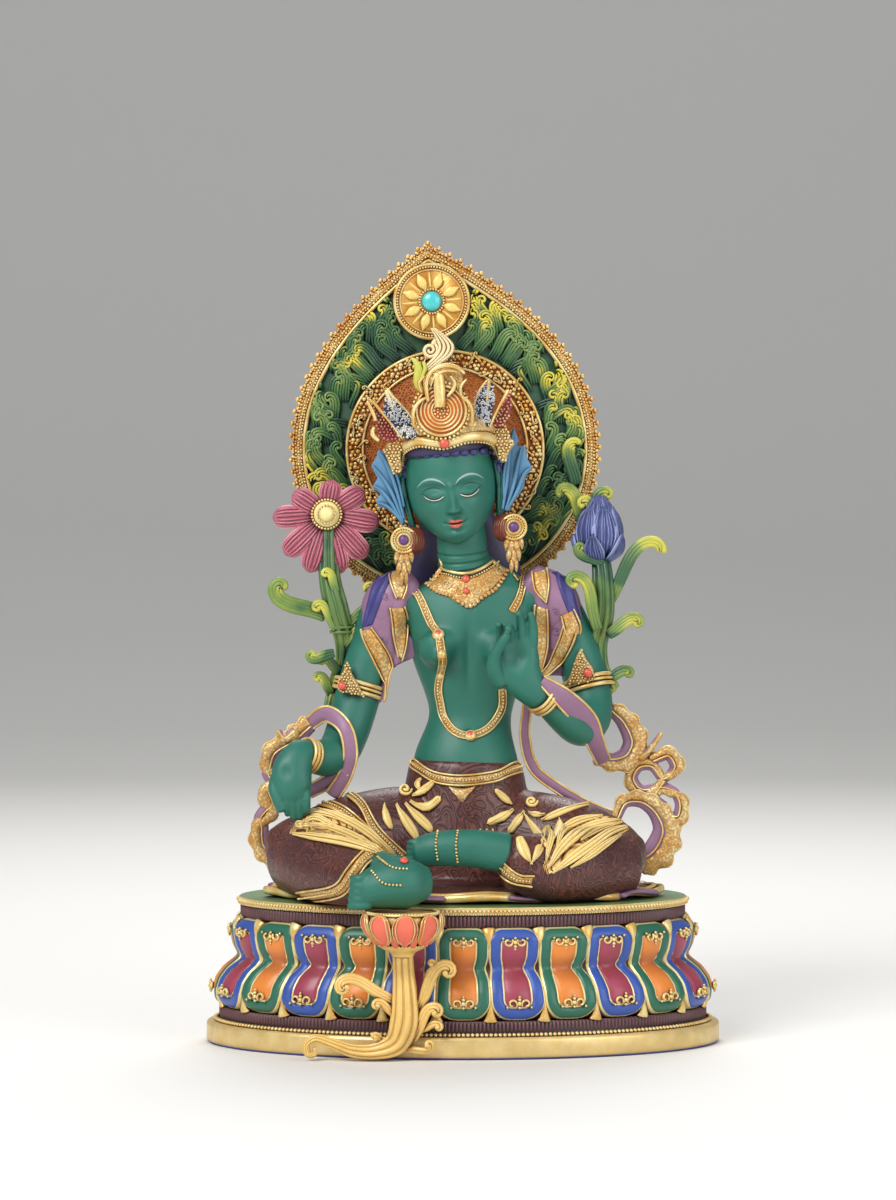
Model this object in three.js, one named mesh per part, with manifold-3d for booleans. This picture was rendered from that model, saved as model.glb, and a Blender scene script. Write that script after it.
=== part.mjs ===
// A seated Tara on a double lotus plinth, with her back plate, flowers and scarves.
// Millimetres, +Z up, the front towards -Y, the origin under the middle of the plinth.
import * as THREE from 'three';
import { mergeVertices } from 'three/addons/utils/BufferGeometryUtils.js';
import Module from 'manifold-3d';

const wasm = await Module();
wasm.setup();

// Driving dimensions of the plinth
const plinthWidth = 190;
const plinthDepth = 120;
const footHeight = 8;
const footRounding = 1.3;
const beadHeight = 1.3;
const lowerHatchHeight = 4.4;
const lowerPetalHeight = 18.5;
const upperPetalHeight = 14.2;
const upperHatchHeight = 4.8;
const rimHeight = 2.8;
const hatchInset = 6;
const lowerPetalInset = 2.8;
const waistInset = 12.6;
const upperPetalInset = 8.8;
const upperHatchInset = 13.5;
const rimInset = 11.7;
const petalPairs = 24;
const petalGroove = 3;

// Driving dimensions of the figure and of what stands round her
const figureHeight = 203;
const headTilt = 8;
const headBow = 8;
const aureoleRadius = 58;
const aureoleRise = 77.8;
const aureoleThickness = 5;
const aureoleLean = 5.2;
const aureoleNubs = 42;
const nubRadius = 1.7;
const haloRadius = 37.5;
const haloBorder = 7;
const haloThickness = 2;
const medallionRadius = 14.2;
const medallionThickness = 2.4;
const medallionDrop = 22;
const stoneRadius = 4;
const stoneHeight = 2.6;
const seatDepth = 1.4;
const openLotusRadius = 22;
const petalTurns = [13, 42, 80, 122, 170, 238, 274, 314, 343];
const budRadius = 10.6;
const stemRadius = 4;
const scarfThickness = 4.6;
const footBowlRadius = 13.2;
const footBowlHeight = 16;
const footStemRadius = 5;
const aureoleFront = 34;
const haloCentre = [-6.6, 165];
const bossLevel = 106;
const bossRadius = 9;
const bossBack = 26;
const pieceGap = 0.3;

// What follows from the driving dimensions
const plinthHalf = plinthWidth / 2;
const depthShare = plinthDepth / plinthWidth;
const hatchBase = footHeight + beadHeight;
const lowerTip = hatchBase + lowerHatchHeight;
const waistLevel = lowerTip + lowerPetalHeight;
const upperTip = waistLevel + upperPetalHeight;
const rimBase = upperTip + upperHatchHeight;
const plateTop = rimBase + rimHeight;
const drawnHeight = 203; // the height at which the figure's shares are written below
const share = figureHeight / drawnHeight;
const medallionRise = aureoleRise - medallionDrop;
const bandDepth = scarfThickness / 2;
const weldDistance = 1e-4;
const towardsFront = new THREE.Vector3(0, -1, 0);
const upwards = new THREE.Vector3(0, 0, 1);

// Frames: each one takes a place as it is written and gives its place in the object
const onFloor = { place: (x, y, z) => new THREE.Vector3(x, y, z), scale: 1 };
const onPlate = {
  place: (x, y, z) => new THREE.Vector3(x * share, y * share, plateTop + pieceGap + z * share),
  scale: share,
};

function turnedFrame(centre, turn) {
  const spin = new THREE.Euler(...turn.map(THREE.MathUtils.degToRad), 'XYZ');
  return {
    place: (x, y, z) => {
      const spot = new THREE.Vector3(x, y, z).applyEuler(spin);
      return onPlate.place(centre[0] + spot.x, centre[1] + spot.y, centre[2] + spot.z);
    },
    scale: share,
  };
}

const onHead = turnedFrame([-3.7, 2.5, 147], [headBow, -headTilt, 0]);
const onAureole = turnedFrame([haloCentre[0], aureoleFront, haloCentre[1]], [0, -aureoleLean, 0]);

// Solids
function toSolid(geometry) {
  const bare = new THREE.BufferGeometry();
  bare.setAttribute('position', geometry.getAttribute('position').clone());
  if (geometry.index) bare.setIndex(geometry.index.clone());
  const merged = mergeVertices(bare, weldDistance);
  const corners = merged.getAttribute('position');
  const corner = (i) => new THREE.Vector3().fromBufferAttribute(corners, i);
  const faces = [];
  let volume = 0;
  for (let i = 0; i < merged.index.count; i += 3) {
    const face = [0, 1, 2].map((k) => merged.index.getX(i + k));
    if (new Set(face).size === 3) {
      faces.push(face);
      volume += corner(face[0]).dot(corner(face[1]).cross(corner(face[2])));
    }
  }
  if (volume < 0) faces.forEach((face) => face.reverse());
  const vertProperties = Float32Array.from(corners.array);
  const triVerts = Uint32Array.from(faces.flat());
  return new wasm.Manifold(new wasm.Mesh({ numProp: 3, vertProperties, triVerts }));
}

function joined(solids) {
  return solids.reduce((whole, solid) => whole.add(solid));
}

function swollen(solid, distance) {
  const mesh = solid.getMesh();
  const geometry = new THREE.BufferGeometry();
  geometry.setAttribute('position', new THREE.BufferAttribute(mesh.vertProperties, 3));
  geometry.setIndex(new THREE.BufferAttribute(mesh.triVerts, 1));
  const merged = mergeVertices(geometry, weldDistance);
  merged.computeVertexNormals();
  const corners = merged.getAttribute('position');
  const normals = merged.getAttribute('normal');
  for (let i = 0; i < corners.count; i += 1) {
    const spot = new THREE.Vector3().fromBufferAttribute(corners, i);
    spot.addScaledVector(new THREE.Vector3().fromBufferAttribute(normals, i), distance);
    corners.setXYZ(i, spot.x, spot.y, spot.z);
  }
  return toSolid(merged);
}

// Cuts a piece back to a gap from its neighbours and keeps its main body
function clearOf(solid, neighbours) {
  const cornerAllowance = 1.5;
  const cut = neighbours.reduce(
    (rest, neighbour) => (
      rest.subtract(swollen(neighbour, pieceGap * cornerAllowance)).subtract(neighbour)),
    solid,
  );
  return cut.decompose().reduce((best, body) => (body.volume() > best.volume() ? body : best));
}

// A closed body of stacked rings: place(column, row) gives each corner, middle(row) each cap
function ringBody(columns, rows, place, middle) {
  const geometry = new THREE.CylinderGeometry(1, 1, 1, columns, rows - 1);
  const corners = geometry.getAttribute('position');
  for (let i = 0; i < corners.count; i += 1) {
    const row = Math.round((0.5 - corners.getY(i)) * (rows - 1));
    const turn = Math.atan2(corners.getX(i), corners.getZ(i)) / (2 * Math.PI);
    const column = (Math.round(turn * columns) + columns) % columns;
    const onAxis = Math.hypot(corners.getX(i), corners.getZ(i)) < 0.5;
    const spot = onAxis ? middle(row) : place(column, row);
    corners.setXYZ(i, spot.x, spot.y, spot.z);
  }
  return toSolid(geometry);
}

// A limb of oval sections: stations are [x, y, z, half width, half depth], and the width lies
// square to the facing direction
function limb(stations, options = {}) {
  const { at = onPlate, sides = 8, rings = stations.length, facing = towardsFront } = options;
  const { dome = 0.45 } = options;
  const path = new THREE.CatmullRomCurve3(stations.map(([x, y, z]) => at.place(x, y, z)));
  const sizes = stations.map((s) => new THREE.Vector3(s[3], s[4] ?? s[3], 0));
  const girth = new THREE.CatmullRomCurve3(sizes);
  const section = (row) => {
    const t = row / (rings - 1);
    const along = path.getTangent(t);
    const side = along.clone().cross(facing).normalize();
    const outward = side.clone().cross(along).normalize();
    const size = girth.getPoint(t).multiplyScalar(at.scale);
    return { centre: path.getPoint(t), along, side, outward, size };
  };
  const sections = Array.from({ length: rings }, (_, row) => section(row));
  const place = (column, row) => {
    const { centre, side, outward, size } = sections[row];
    const turn = (2 * Math.PI * column) / sides;
    return centre.clone()
      .addScaledVector(side, Math.sin(turn) * size.x)
      .addScaledVector(outward, Math.cos(turn) * size.y);
  };
  const middle = (row) => {
    const { centre, along, size } = sections[row];
    const reach = Math.min(size.x, size.y) * dome * (row === 0 ? -1 : 1);
    return centre.clone().addScaledVector(along, reach);
  };
  return ringBody(sides, rings, place, middle);
}

// Moves a geometry to its centre, turned by degrees, in a frame
function setIn(geometry, centre, { turn = [0, 0, 0], at = onPlate } = {}) {
  geometry.rotateX(THREE.MathUtils.degToRad(turn[0]));
  geometry.rotateY(THREE.MathUtils.degToRad(turn[1]));
  geometry.rotateZ(THREE.MathUtils.degToRad(turn[2]));
  const corners = geometry.getAttribute('position');
  for (let i = 0; i < corners.count; i += 1) {
    const [x, y, z] = [corners.getX(i), corners.getY(i), corners.getZ(i)];
    const spot = at.place(centre[0] + x, centre[1] + y, centre[2] + z);
    corners.setXYZ(i, spot.x, spot.y, spot.z);
  }
  return toSolid(geometry);
}

function ball(centre, radii, options = {}) {
  const { across = 8, down = 6 } = options;
  const geometry = new THREE.SphereGeometry(1, across, down);
  geometry.rotateX(Math.PI / 2);
  geometry.scale(...radii);
  return setIn(geometry, centre, options);
}

// A round disc whose flat faces look to the front and back
function disc(centre, radius, thickness, options = {}) {
  const geometry = new THREE.CylinderGeometry(radius, radius, thickness, options.sides ?? 16);
  return setIn(geometry, centre, options);
}

// An upright plate: its outline is drawn as seen from the front, its thickness runs back
function plate(outline, thickness, front, options = {}) {
  const { smooth = 0 } = options;
  const points = outline.map(([x, z]) => new THREE.Vector2(x, z));
  const shape = new THREE.Shape();
  if (smooth > 0) {
    shape.setFromPoints(new THREE.SplineCurve([...points, points[0]]).getPoints(smooth).slice(1));
  } else {
    shape.setFromPoints(points);
  }
  const geometry = new THREE.ExtrudeGeometry(shape, { depth: thickness, bevelEnabled: false });
  geometry.rotateX(Math.PI / 2);
  geometry.translate(0, front + thickness, 0);
  return setIn(geometry, [0, 0, 0], options);
}

// Lotus plinth
// Angles that part an ellipse into equal lengths, from the front round to the front again
function evenAngles(count, halfWidth, halfDepth) {
  const fineSteps = 3600;
  const lengths = [0];
  for (let i = 1; i <= fineSteps; i += 1) {
    const turn = (2 * Math.PI * (i - 0.5)) / fineSteps;
    const step = Math.hypot(halfWidth * Math.cos(turn), halfDepth * Math.sin(turn));
    lengths.push(lengths[i - 1] + step);
  }
  const whole = lengths[fineSteps];
  return (part) => {
    const wanted = (((part / count) % 1) + 1) % 1 * whole;
    const index = lengths.findIndex((length) => length >= wanted);
    return (2 * Math.PI * index) / fineSteps;
  };
}

function plinthRing(halfWidth, turn, level) {
  const halfDepth = halfWidth * depthShare;
  return new THREE.Vector3(halfWidth * Math.sin(turn), -halfDepth * Math.cos(turn), level);
}

// A band of the plinth: rows are [level, inset from the foot's edge]
function plinthBand(rows, columns = 32) {
  const place = (column, row) => {
    const [level, inset] = rows[row];
    return plinthRing(plinthHalf - inset, (2 * Math.PI * column) / columns, level);
  };
  const middle = (row) => new THREE.Vector3(0, 0, rows[row][0]);
  return ringBody(columns, rows.length, place, middle);
}

function petalBand() {
  const sunk = 1; // how far the petals run into the bands above and below
  const rows = [
    [lowerTip - sunk, hatchInset + sunk, 0],
    [lowerTip, lowerPetalInset * 1.1, 1],
    [lowerTip + lowerPetalHeight * 0.6, lowerPetalInset * 1.2, 1],
    [waistLevel, waistInset, 0.6],
    [waistLevel + upperPetalHeight * 0.42, upperPetalInset * 1.08, 1],
    [upperTip, upperPetalInset * 1.14, 1],
    [upperTip + sunk, upperHatchInset + sunk, 0],
  ];
  const bulgeAt = [0, 0.26, 0.74]; // a groove and the two shoulders of a petal
  const evenTurn = evenAngles(petalPairs, plinthHalf, plinthHalf * depthShare);
  const columns = petalPairs * bulgeAt.length;
  const place = (column, row) => {
    const [level, inset, groove] = rows[row];
    const step = column % bulgeAt.length;
    const petal = (column - step) / bulgeAt.length - 0.5 + bulgeAt[step];
    const depth = step === 0 ? petalGroove * groove : 0;
    return plinthRing(plinthHalf - inset - depth, evenTurn(petal), level);
  };
  const middle = (row) => new THREE.Vector3(0, 0, rows[row][0]);
  return ringBody(columns, rows.length, place, middle);
}

function makePlinth() {
  const foot = plinthBand([
    [0, footRounding],
    [footRounding, 0],
    [footHeight - footRounding, 0],
    [footHeight, footRounding],
    [hatchBase, hatchInset],
    [lowerTip + beadHeight, hatchInset],
  ]);
  const top = plinthBand([
    [upperTip - beadHeight, upperHatchInset],
    [rimBase, upperHatchInset],
    [rimBase + rimHeight * 0.2, rimInset],
    [rimBase + rimHeight * 0.75, rimInset],
    [plateTop, rimInset + footRounding],
  ]);
  return joined([foot, petalBand(), top]);
}

// Figure, in shares of her height: x to the right, y back, z up from the plate
function makeTorso() {
  const trunk = limb([
    [1, 6, 0, 26, 22],
    [1, 6, 20, 26, 21],
    [1.1, 6, 42, 21.5, 17],
    [1.4, 6, 51, 19.6, 15.3],
    [2.6, 7, 64, 15.2, 12],
    [3, 7, 74, 17.4, 12.6],
    [2.6, 6.8, 88, 22, 14],
    [2.5, 7, 100, 24.5, 14.5],
    [2.4, 7.5, 109, 25.5, 13],
    [2.2, 8, 115, 21, 11],
    [1.6, 8, 119.5, 13, 9.5],
    [0.6, 7, 124, 9.6, 9],
    [-0.6, 4, 137, 8.9, 9],
  ], { sides: 12, rings: 12 });
  const breasts = [-8, 11.5].map((x) => ball([x, -4.5, 90], [9, 7.5, 9], { down: 5 }));
  return [trunk, ...breasts];
}

function makeLegs() {
  const level = { sides: 8, facing: upwards };
  const rightThigh = limb([
    [-4, 8, 19, 17, 18.5],
    [-24, 0, 20.5, 17, 19.5],
    [-44, -8, 19.5, 16, 17],
    [-60, -14, 18, 12.5, 12.5],
    [-69, -17, 16.5, 8, 9.5],
  ], level);
  const rightShin = limb([
    [-63, -15, 15, 10, 13],
    [-54, -31, 13, 11.5, 13.2],
    [-43, -46, 11.5, 11, 11.8],
    [-33, -55, 12, 9.5, 11],
  ], level);
  const leftThigh = limb([
    [8, 8, 19, 17, 18.5],
    [26, 0, 19.5, 17, 18.8],
    [44, -8, 18, 16, 16.2],
    [57, -14, 15.5, 12.5, 12.2],
    [64, -17, 14.5, 7, 8.5],
  ], level);
  const leftShin = limb([
    [59, -17, 13, 9, 12.5],
    [45, -29, 12.5, 11, 13],
    [30, -37, 13, 10.5, 12.8],
    [17, -40, 15.5, 9, 10.5],
  ], level);
  return [rightThigh, rightShin, leftThigh, leftShin];
}

function makeFeet() {
  const level = { sides: 8, facing: upwards };
  const standing = limb([
    [-14.5, -61, 9, 5, 6],
    [-20.5, -62, 10.2, 6.6, 9.4],
    [-28, -62.5, 9.6, 6.4, 8.8],
    [-35, -63.4, 7.6, 5.2, 6.8],
    [-40, -64, 7, 3.4, 5.8],
  ], { ...level, dome: 0.2 });
  const ankle = limb([[-25, -61, 13, 6.5], [-31, -54, 13, 7.5]], level);
  const lying = limb([
    [14, -40, 19, 6.4, 7.6],
    [3, -41, 20.2, 5.6, 7],
    [-9, -40.5, 20, 5.4, 6.6],
    [-17, -39, 18.4, 4.6, 5.6],
    [-20.6, -38, 17.4, 3.2, 4.2],
  ], level);
  return [standing, ankle, lying];
}

function makeRobe() {
  const columns = 24;
  const rows = [[0, 0.98], [2.6, 1], [6, 0.8]];
  const ripple = (turn) => 1 + 0.025 * Math.sin(9 * turn + 1) + 0.012 * Math.sin(17 * turn);
  const place = (column, row) => {
    const turn = (2 * Math.PI * column) / columns;
    const reach = rows[row][1] * ripple(turn);
    return onPlate.place(72 * reach * Math.sin(turn), -3 - 38 * reach * Math.cos(turn), rows[row][0]);
  };
  const spread = ringBody(columns, rows.length, place, (row) => onPlate.place(0, -3, rows[row][0]));
  const hems = [
    limb([
      [-51, -52, 5, 2, 2.6],
      [-43, -57, 11.5, 2, 2.6],
      [-34, -60, 18, 2, 2.6],
      [-25, -56, 21, 2, 2.4],
    ], { sides: 5 }),
    limb([
      [10, -45, 24, 2, 2.6],
      [13.5, -48, 17, 2, 2.6],
      [19.5, -49, 10.5, 2, 2.6],
      [29, -46, 6.5, 2, 2.4],
    ], { sides: 5 }),
  ];
  const belt = limb([[1, 4.4, 42.6, 23.4, 18.6], [1.3, 6.2, 48, 21.6, 17.2]], { sides: 12, dome: 0 });
  return [spread, ...hems, belt];
}

function makeRightArm() {
  const arm = limb([
    [-20, 8, 109, 9, 9.5],
    [-28.5, 8, 104.5, 9.4, 9.8],
    [-34, 8, 90, 8.8, 9],
    [-38.5, 6.5, 75, 8.9, 8.8],
    [-42.5, 2.5, 61, 8.5, 8.4],
    [-46.5, -4, 52.5, 8, 8],
    [-52.5, -10, 51, 7, 7],
    [-58.5, -15.5, 53, 5.2, 5.2],
  ], { rings: 8 });
  const hand = limb([
    [-57, -14.5, 52.5, 5.6, 5],
    [-61.5, -19, 51, 6.6, 5],
    [-63, -21.5, 44, 7.4, 4.6],
    [-61.6, -22, 36.5, 6.6, 4],
    [-60.3, -21, 29, 4.8, 2.6],
  ], { sides: 7 });
  const thumb = limb([
    [-67, -19, 47, 2.6],
    [-69, -21.5, 40, 2.3],
    [-67, -22.5, 33.5, 1.8],
  ], { sides: 5 });
  const bracelet = limb([[-55.6, -12.8, 51.4, 7.4], [-58.6, -15.6, 52.6, 7]]);
  const armlet = limb([[-37.8, 6.9, 77.8, 10.4], [-38.6, 6.4, 74.6, 10.6]]);
  const jewel = plate([[-48.5, 76], [-40, 74], [-45.6, 88]], 3, -3.4);
  return [arm, hand, thumb, bracelet, armlet, jewel];
}

function makeLeftArm() {
  const arm = limb([
    [24, 8, 110, 9, 9.5],
    [34.5, 8, 105.5, 9.2, 9.8],
    [41.5, 7.5, 92, 8.8, 9],
    [46, 5.5, 78, 8.8, 8.8],
    [47.4, 1, 67, 8.4, 8.8],
    [43.6, -7, 62.6, 8, 8.2],
    [36.5, -14, 67.5, 7, 7.2],
    [29.5, -19, 73.5, 5.4, 5.4],
  ], { rings: 9 });
  const palm = limb([
    [29.5, -18.5, 73.5, 5.2, 4.8],
    [23.5, -22, 78, 7, 4.6],
    [18.8, -23.5, 85.5, 8.2, 4],
    [18, -23.5, 93, 6.8, 3.2],
  ], { sides: 7 });
  const fingers = [
    [[12.6, -23.5, 91, 2.3], [13.4, -28.5, 100.5, 1.7]],
    [[16.4, -23.5, 93, 2.3], [17.6, -27, 105, 1.6]],
    [[20.4, -23.5, 93, 2.3], [22.2, -26.5, 104, 1.6]],
    [[23.6, -23.5, 90, 2.1], [26.4, -26.5, 100, 1.5]],
    [[11.2, -24.5, 83, 2.5], [11.6, -29.5, 95.5, 1.8]],
  ].map((stations) => limb(stations, { sides: 4 }));
  const bracelet = limb([[30.8, -17.9, 72.4, 6.8], [28.4, -19.6, 74.4, 6.6]]);
  const armlet = limb([[46, 5.4, 78.6, 10.4], [46.8, 4, 75.2, 10.4]]);
  const jewel = plate([[40.6, 75.4], [55.4, 77], [51.4, 92]], 3, -4);
  return [arm, palm, ...fingers, bracelet, armlet, jewel];
}

function makeHead() {
  // rows: height from the middle of the head, half width, front, back
  const rows = [
    [27, 5, -5, 8],
    [24.5, 10.5, -9.5, 13],
    [18, 15.2, -13, 17],
    [9, 16.6, -14.8, 18],
    [2, 16.4, -15, 17],
    [-5, 14.4, -14.8, 14],
    [-12, 9.8, -13.8, 8],
    [-16, 4.6, -11.4, 0],
  ];
  const columns = 12;
  const place = (column, row) => {
    const [level, halfWidth, front, back] = rows[row];
    const turn = (2 * Math.PI * column) / columns;
    const middle = (front + back) / 2;
    const y = middle - ((back - front) / 2) * Math.cos(turn);
    return onHead.place(halfWidth * Math.sin(turn), y, level);
  };
  const middle = (row) => onHead.place(0, (rows[row][2] + rows[row][3]) / 2, rows[row][0]);
  const skull = ringBody(columns, rows.length, place, middle);
  const nose = limb([
    [0, -14.2, 6, 1.3, 1.4],
    [0, -17.2, -4, 2.4, 1.8],
  ], { at: onHead, sides: 5 });
  const lips = ball([0, -14.9, -8.8], [3.6, 1.4, 1.6], { at: onHead, across: 5, down: 3 });
  const ears = [-1, 1].map((side) => limb([
    [side * 16.6, 0.5, 11, 1.6, 3],
    [side * 17.6, 0, 3, 1.4, 2.6],
    [side * 16.6, -0.5, -11, 1.3, 1.8],
  ], { at: onHead, sides: 5 }));
  return [skull, nose, lips, ...ears];
}

function makeEarrings() {
  return [[-21.8, -3, 131.1, -1], [18.8, -3, 135.9, 1]].flatMap(([x, y, z, side]) => {
    const rosette = disc([x, y, z], 4.9, 3, { sides: 8 });
    const plug = disc([x - side * 2.6, y + 2.6, z - 0.6], 5.4, 4, { sides: 8, turn: [0, 0, side * 35] });
    const tassel = limb([
      [x, y + 0.5, z - 3, 3.2, 2],
      [x + side * 0.8, y + 1, z - 9.5, 2.6, 2],
      [x - side * 0.6, y + 2, z - 16, 1.3, 1.3],
    ], { sides: 4 });
    return [rosette, plug, tassel];
  });
}

// A crown leaf: a pointed plate that stands on the band, leaning by degrees
function crownLeaf(base, tip, halfWidth, front) {
  const along = new THREE.Vector2(tip[0] - base[0], tip[1] - base[1]);
  const across = new THREE.Vector2(along.y, -along.x).normalize().multiplyScalar(halfWidth);
  const point = (part, side) => [
    base[0] + along.x * part + across.x * side,
    base[1] + along.y * part + across.y * side,
  ];
  const outline = [point(0, -0.8), point(0, 0.8), point(0.45, 1), point(0.8, 0.55), point(1, 0)];
  return plate([...outline, point(0.8, -0.55), point(0.45, -1)], 3, front);
}

function makeCrown() {
  const band = limb([
    [-21.6, 2, 159.4, 1.8],
    [-22, -5, 164.6, 2.2],
    [-16.4, -12, 167.6, 2.2],
    [-7, -15.4, 166.8, 2.2],
    [2.4, -14.6, 169.2, 2.2],
    [10.4, -8.4, 168.4, 2.2],
    [13.8, 0, 162.6, 1.8],
  ], { sides: 4, facing: upwards });
  const gallery = limb([
    [0, -0.6, 14, 17, 14.8],
    [0, 0, 29, 13.6, 12.6],
  ], { at: onHead, sides: 10 });
  const boss = disc([-8.4, -15.6, 179], 9, 5, { sides: 10 });
  const bar = plate([[-10.4, 184], [-6.2, 184.6], [-7, 197], [-11, 196.6]], 4, -19);
  const arch = plate([
    [-19, 170], [4, 173], [1.5, 190], [-4.5, 199], [-10, 203], [-14.4, 198], [-19.5, 188],
  ], 6, -16);
  const leaves = [
    crownLeaf([-19, 166], [-28.3, 187], 5.6, -12),
    crownLeaf([6, 169], [9.8, 190.6], 5.6, -12),
    crownLeaf([-20, 160], [-35, 182.5], 4.6, -4.5),
    crownLeaf([9.6, 163], [18, 186.6], 4.6, -4.5),
  ];
  const topknot = ball([-7.4, 7, 181], [9.5, 9, 13], { down: 5 });
  return [band, gallery, boss, bar, arch, ...leaves, topknot];
}

function makeRibbons() {
  const right = [
    [-21, 162], [-30, 163.5], [-34, 165], [-32.6, 158], [-35, 152], [-31.4, 148],
    [-34.6, 142], [-29, 137.5], [-26, 131], [-22.6, 129.5], [-20, 148],
  ];
  const left = [
    [12, 167], [17, 172.5], [21.4, 178], [21.8, 171], [25.6, 171.6], [24.6, 165.4],
    [29, 162], [24, 156], [20.5, 149], [18.6, 139], [15.4, 139], [12, 152],
  ];
  return [plate(right, 2.4, 2.5), plate(left, 2.4, 2.5)];
}

function makeHair() {
  const fall = limb([
    [-4.6, 14, 160, 14, 7],
    [-2.4, 17, 140, 14, 6],
    [0.6, 19.5, 120, 22, 5],
    [2, 20.5, 102, 20, 3.6],
    [2.4, 20, 88, 9, 2.4],
  ], { sides: 8 });
  return [fall];
}

function makeChestOrnaments() {
  const breastPlate = limb([
    [1, -3.6, 118.4, 14, 2.6],
    [1.4, -6, 113, 11, 2.4],
    [1.9, -8, 107.4, 2, 1.2],
  ], { sides: 6 });
  const pendant = plate([[-5, 42], [5.6, 42.5], [3.4, 38], [0, 35], [-3.4, 38]], 4, -13.4);
  return [breastPlate, pendant];
}

function makeShawl() {
  return [
    limb([
      [-23, 5, 113.5, 8.5, 8],
      [-30, 3, 104, 9, 8.5],
      [-31, 1.4, 90, 7, 8.4],
      [-28, 0, 79, 3.6, 6],
      [-26.2, -1, 72.6, 1.2, 2],
    ], { sides: 6 }),
    limb([
      [28, 5, 114.5, 8.5, 8],
      [36, 3, 105, 9, 8.6],
      [38.6, 1.4, 92, 7, 8.6],
      [38, 0, 82, 4, 6.4],
      [36.6, -1, 75.4, 1.2, 2],
    ], { sides: 6 }),
  ];
}

// The boss on her back that carries the back plate
function makeBackBoss() {
  const length = bossBack - 8;
  return disc([1, bossBack - length / 2, bossLevel], bossRadius, length, { sides: 8 });
}

function makeFigure() {
  const below = new THREE.BoxGeometry(plinthWidth, plinthDepth, plateTop);
  const underPlate = setIn(below, [0, 0, plateTop / 2 + pieceGap], { at: onFloor });
  return joined([
    ...makeTorso(), ...makeLegs(), ...makeFeet(), ...makeRobe(), ...makeRightArm(),
    ...makeLeftArm(), ...makeHead(), ...makeEarrings(), ...makeCrown(), ...makeRibbons(),
    ...makeHair(), ...makeChestOrnaments(), ...makeShawl(), makeBackBoss(),
  ]).subtract(underPlate);
}

// Back plate: drawn round the middle of the halo and leaning with the head
function aureoleOutline(inset, count) {
  const side = aureoleRadius - inset;
  const apex = aureoleRise - inset * 1.3;
  const rightArch = new THREE.CubicBezierCurve(
    new THREE.Vector2(side, 0), new THREE.Vector2(side, apex * 0.42),
    new THREE.Vector2(side * 0.57, apex * 0.73), new THREE.Vector2(0, apex),
  );
  const outline = new THREE.CurvePath();
  const leftArch = new THREE.CubicBezierCurve(
    new THREE.Vector2(0, apex), new THREE.Vector2(-side * 0.57, apex * 0.73),
    new THREE.Vector2(-side, apex * 0.42), new THREE.Vector2(-side, 0),
  );
  const bowl = new THREE.EllipseCurve(0, 0, side, side, Math.PI, 2 * Math.PI);
  [rightArch, leftArch, bowl].forEach((curve) => outline.add(curve));
  return outline.getSpacedPoints(count).slice(0, count);
}

function makeAureole() {
  const pairs = (points) => points.map((point) => [point.x, point.y]);
  const border = aureoleOutline(0, aureoleNubs * 2).map((point, i) => (
    i % 2 === 0 ? point : point.clone().multiplyScalar(1 - nubRadius / aureoleRadius)));
  const back = plate(pairs(border), aureoleThickness, 0, { at: onAureole });
  const fieldInset = 3 * nubRadius;
  const hollow = plate(pairs(aureoleOutline(fieldInset, 28)), aureoleThickness, -4, { at: onAureole });
  const halo = disc([0, 0, 0], haloRadius, 2 * haloThickness, { at: onAureole, sides: 26 });
  const haloField = disc([0, -haloThickness * 1.4, 0], haloRadius - haloBorder, haloThickness,
    { at: onAureole, sides: 20 });
  const medallion = disc([0, 0, medallionRise], medallionRadius, 2 * medallionThickness,
    { at: onAureole, sides: 16 });
  const seat = disc([0, -medallionThickness, medallionRise], stoneRadius + pieceGap, 2 * seatDepth,
    { at: onAureole, sides: 12 });
  const scrolls = [];
  const rows = [[-44, 45.2, 1], [-12, 45.4, -1], [19, 46, 1], [47, 50, -1]];
  [-1, 1].forEach((side) => rows.forEach(([turn, reach, curl]) => {
    const away = THREE.MathUtils.degToRad(turn);
    const centre = [side * reach * Math.cos(away), reach * Math.sin(away)];
    const leaf = [-150, -50, 60, 180].map((degrees, i) => {
      const angle = THREE.MathUtils.degToRad(degrees * curl * side) + away;
      const radius = [8.4, 6, 4.6, 2.6][i];
      return [centre[0] + radius * Math.cos(angle), 0.6, centre[1] + radius * Math.sin(angle),
        [1, 2.4, 2.2, 1.6][i], 1.6];
    });
    scrolls.push(limb(leaf, { at: onAureole, sides: 4 }));
  }));
  const finial = limb([
    [1.5, -6, 28, 1.6, 2],
    [4.4, -6, 34, 2.4, 2.4],
    [1, -5, 39, 2.6, 2.4],
    [-1.4, -4, 43.6, 1.4, 2],
    [0.4, -3, 48, 1, 1.6],
  ], { at: onAureole, sides: 5 });
  const curl = ball([-3.6, -5, 37], [3.6, 2.4, 4.2], { at: onAureole, across: 6, down: 4 });
  const post = plate([[-8, -66], [8, -66], [9, -46], [-9, -46]], aureoleThickness + 3,
    bossBack + pieceGap - aureoleFront, { at: onAureole });
  return joined([back.subtract(hollow), halo, medallion, ...scrolls, finial, curl, post])
    .subtract(haloField.subtract(joined([finial, curl])))
    .subtract(seat);
}

function makeMedallionStone() {
  const middle = -medallionThickness + seatDepth - pieceGap - stoneHeight / 2;
  return ball([0, middle, medallionRise], [stoneRadius, stoneHeight / 2, stoneRadius],
    { at: onAureole, across: 12, down: 4 });
}

// Flowers on their leafy stems
function leafTrail(stations) {
  return limb(stations, { sides: 4 });
}

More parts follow.
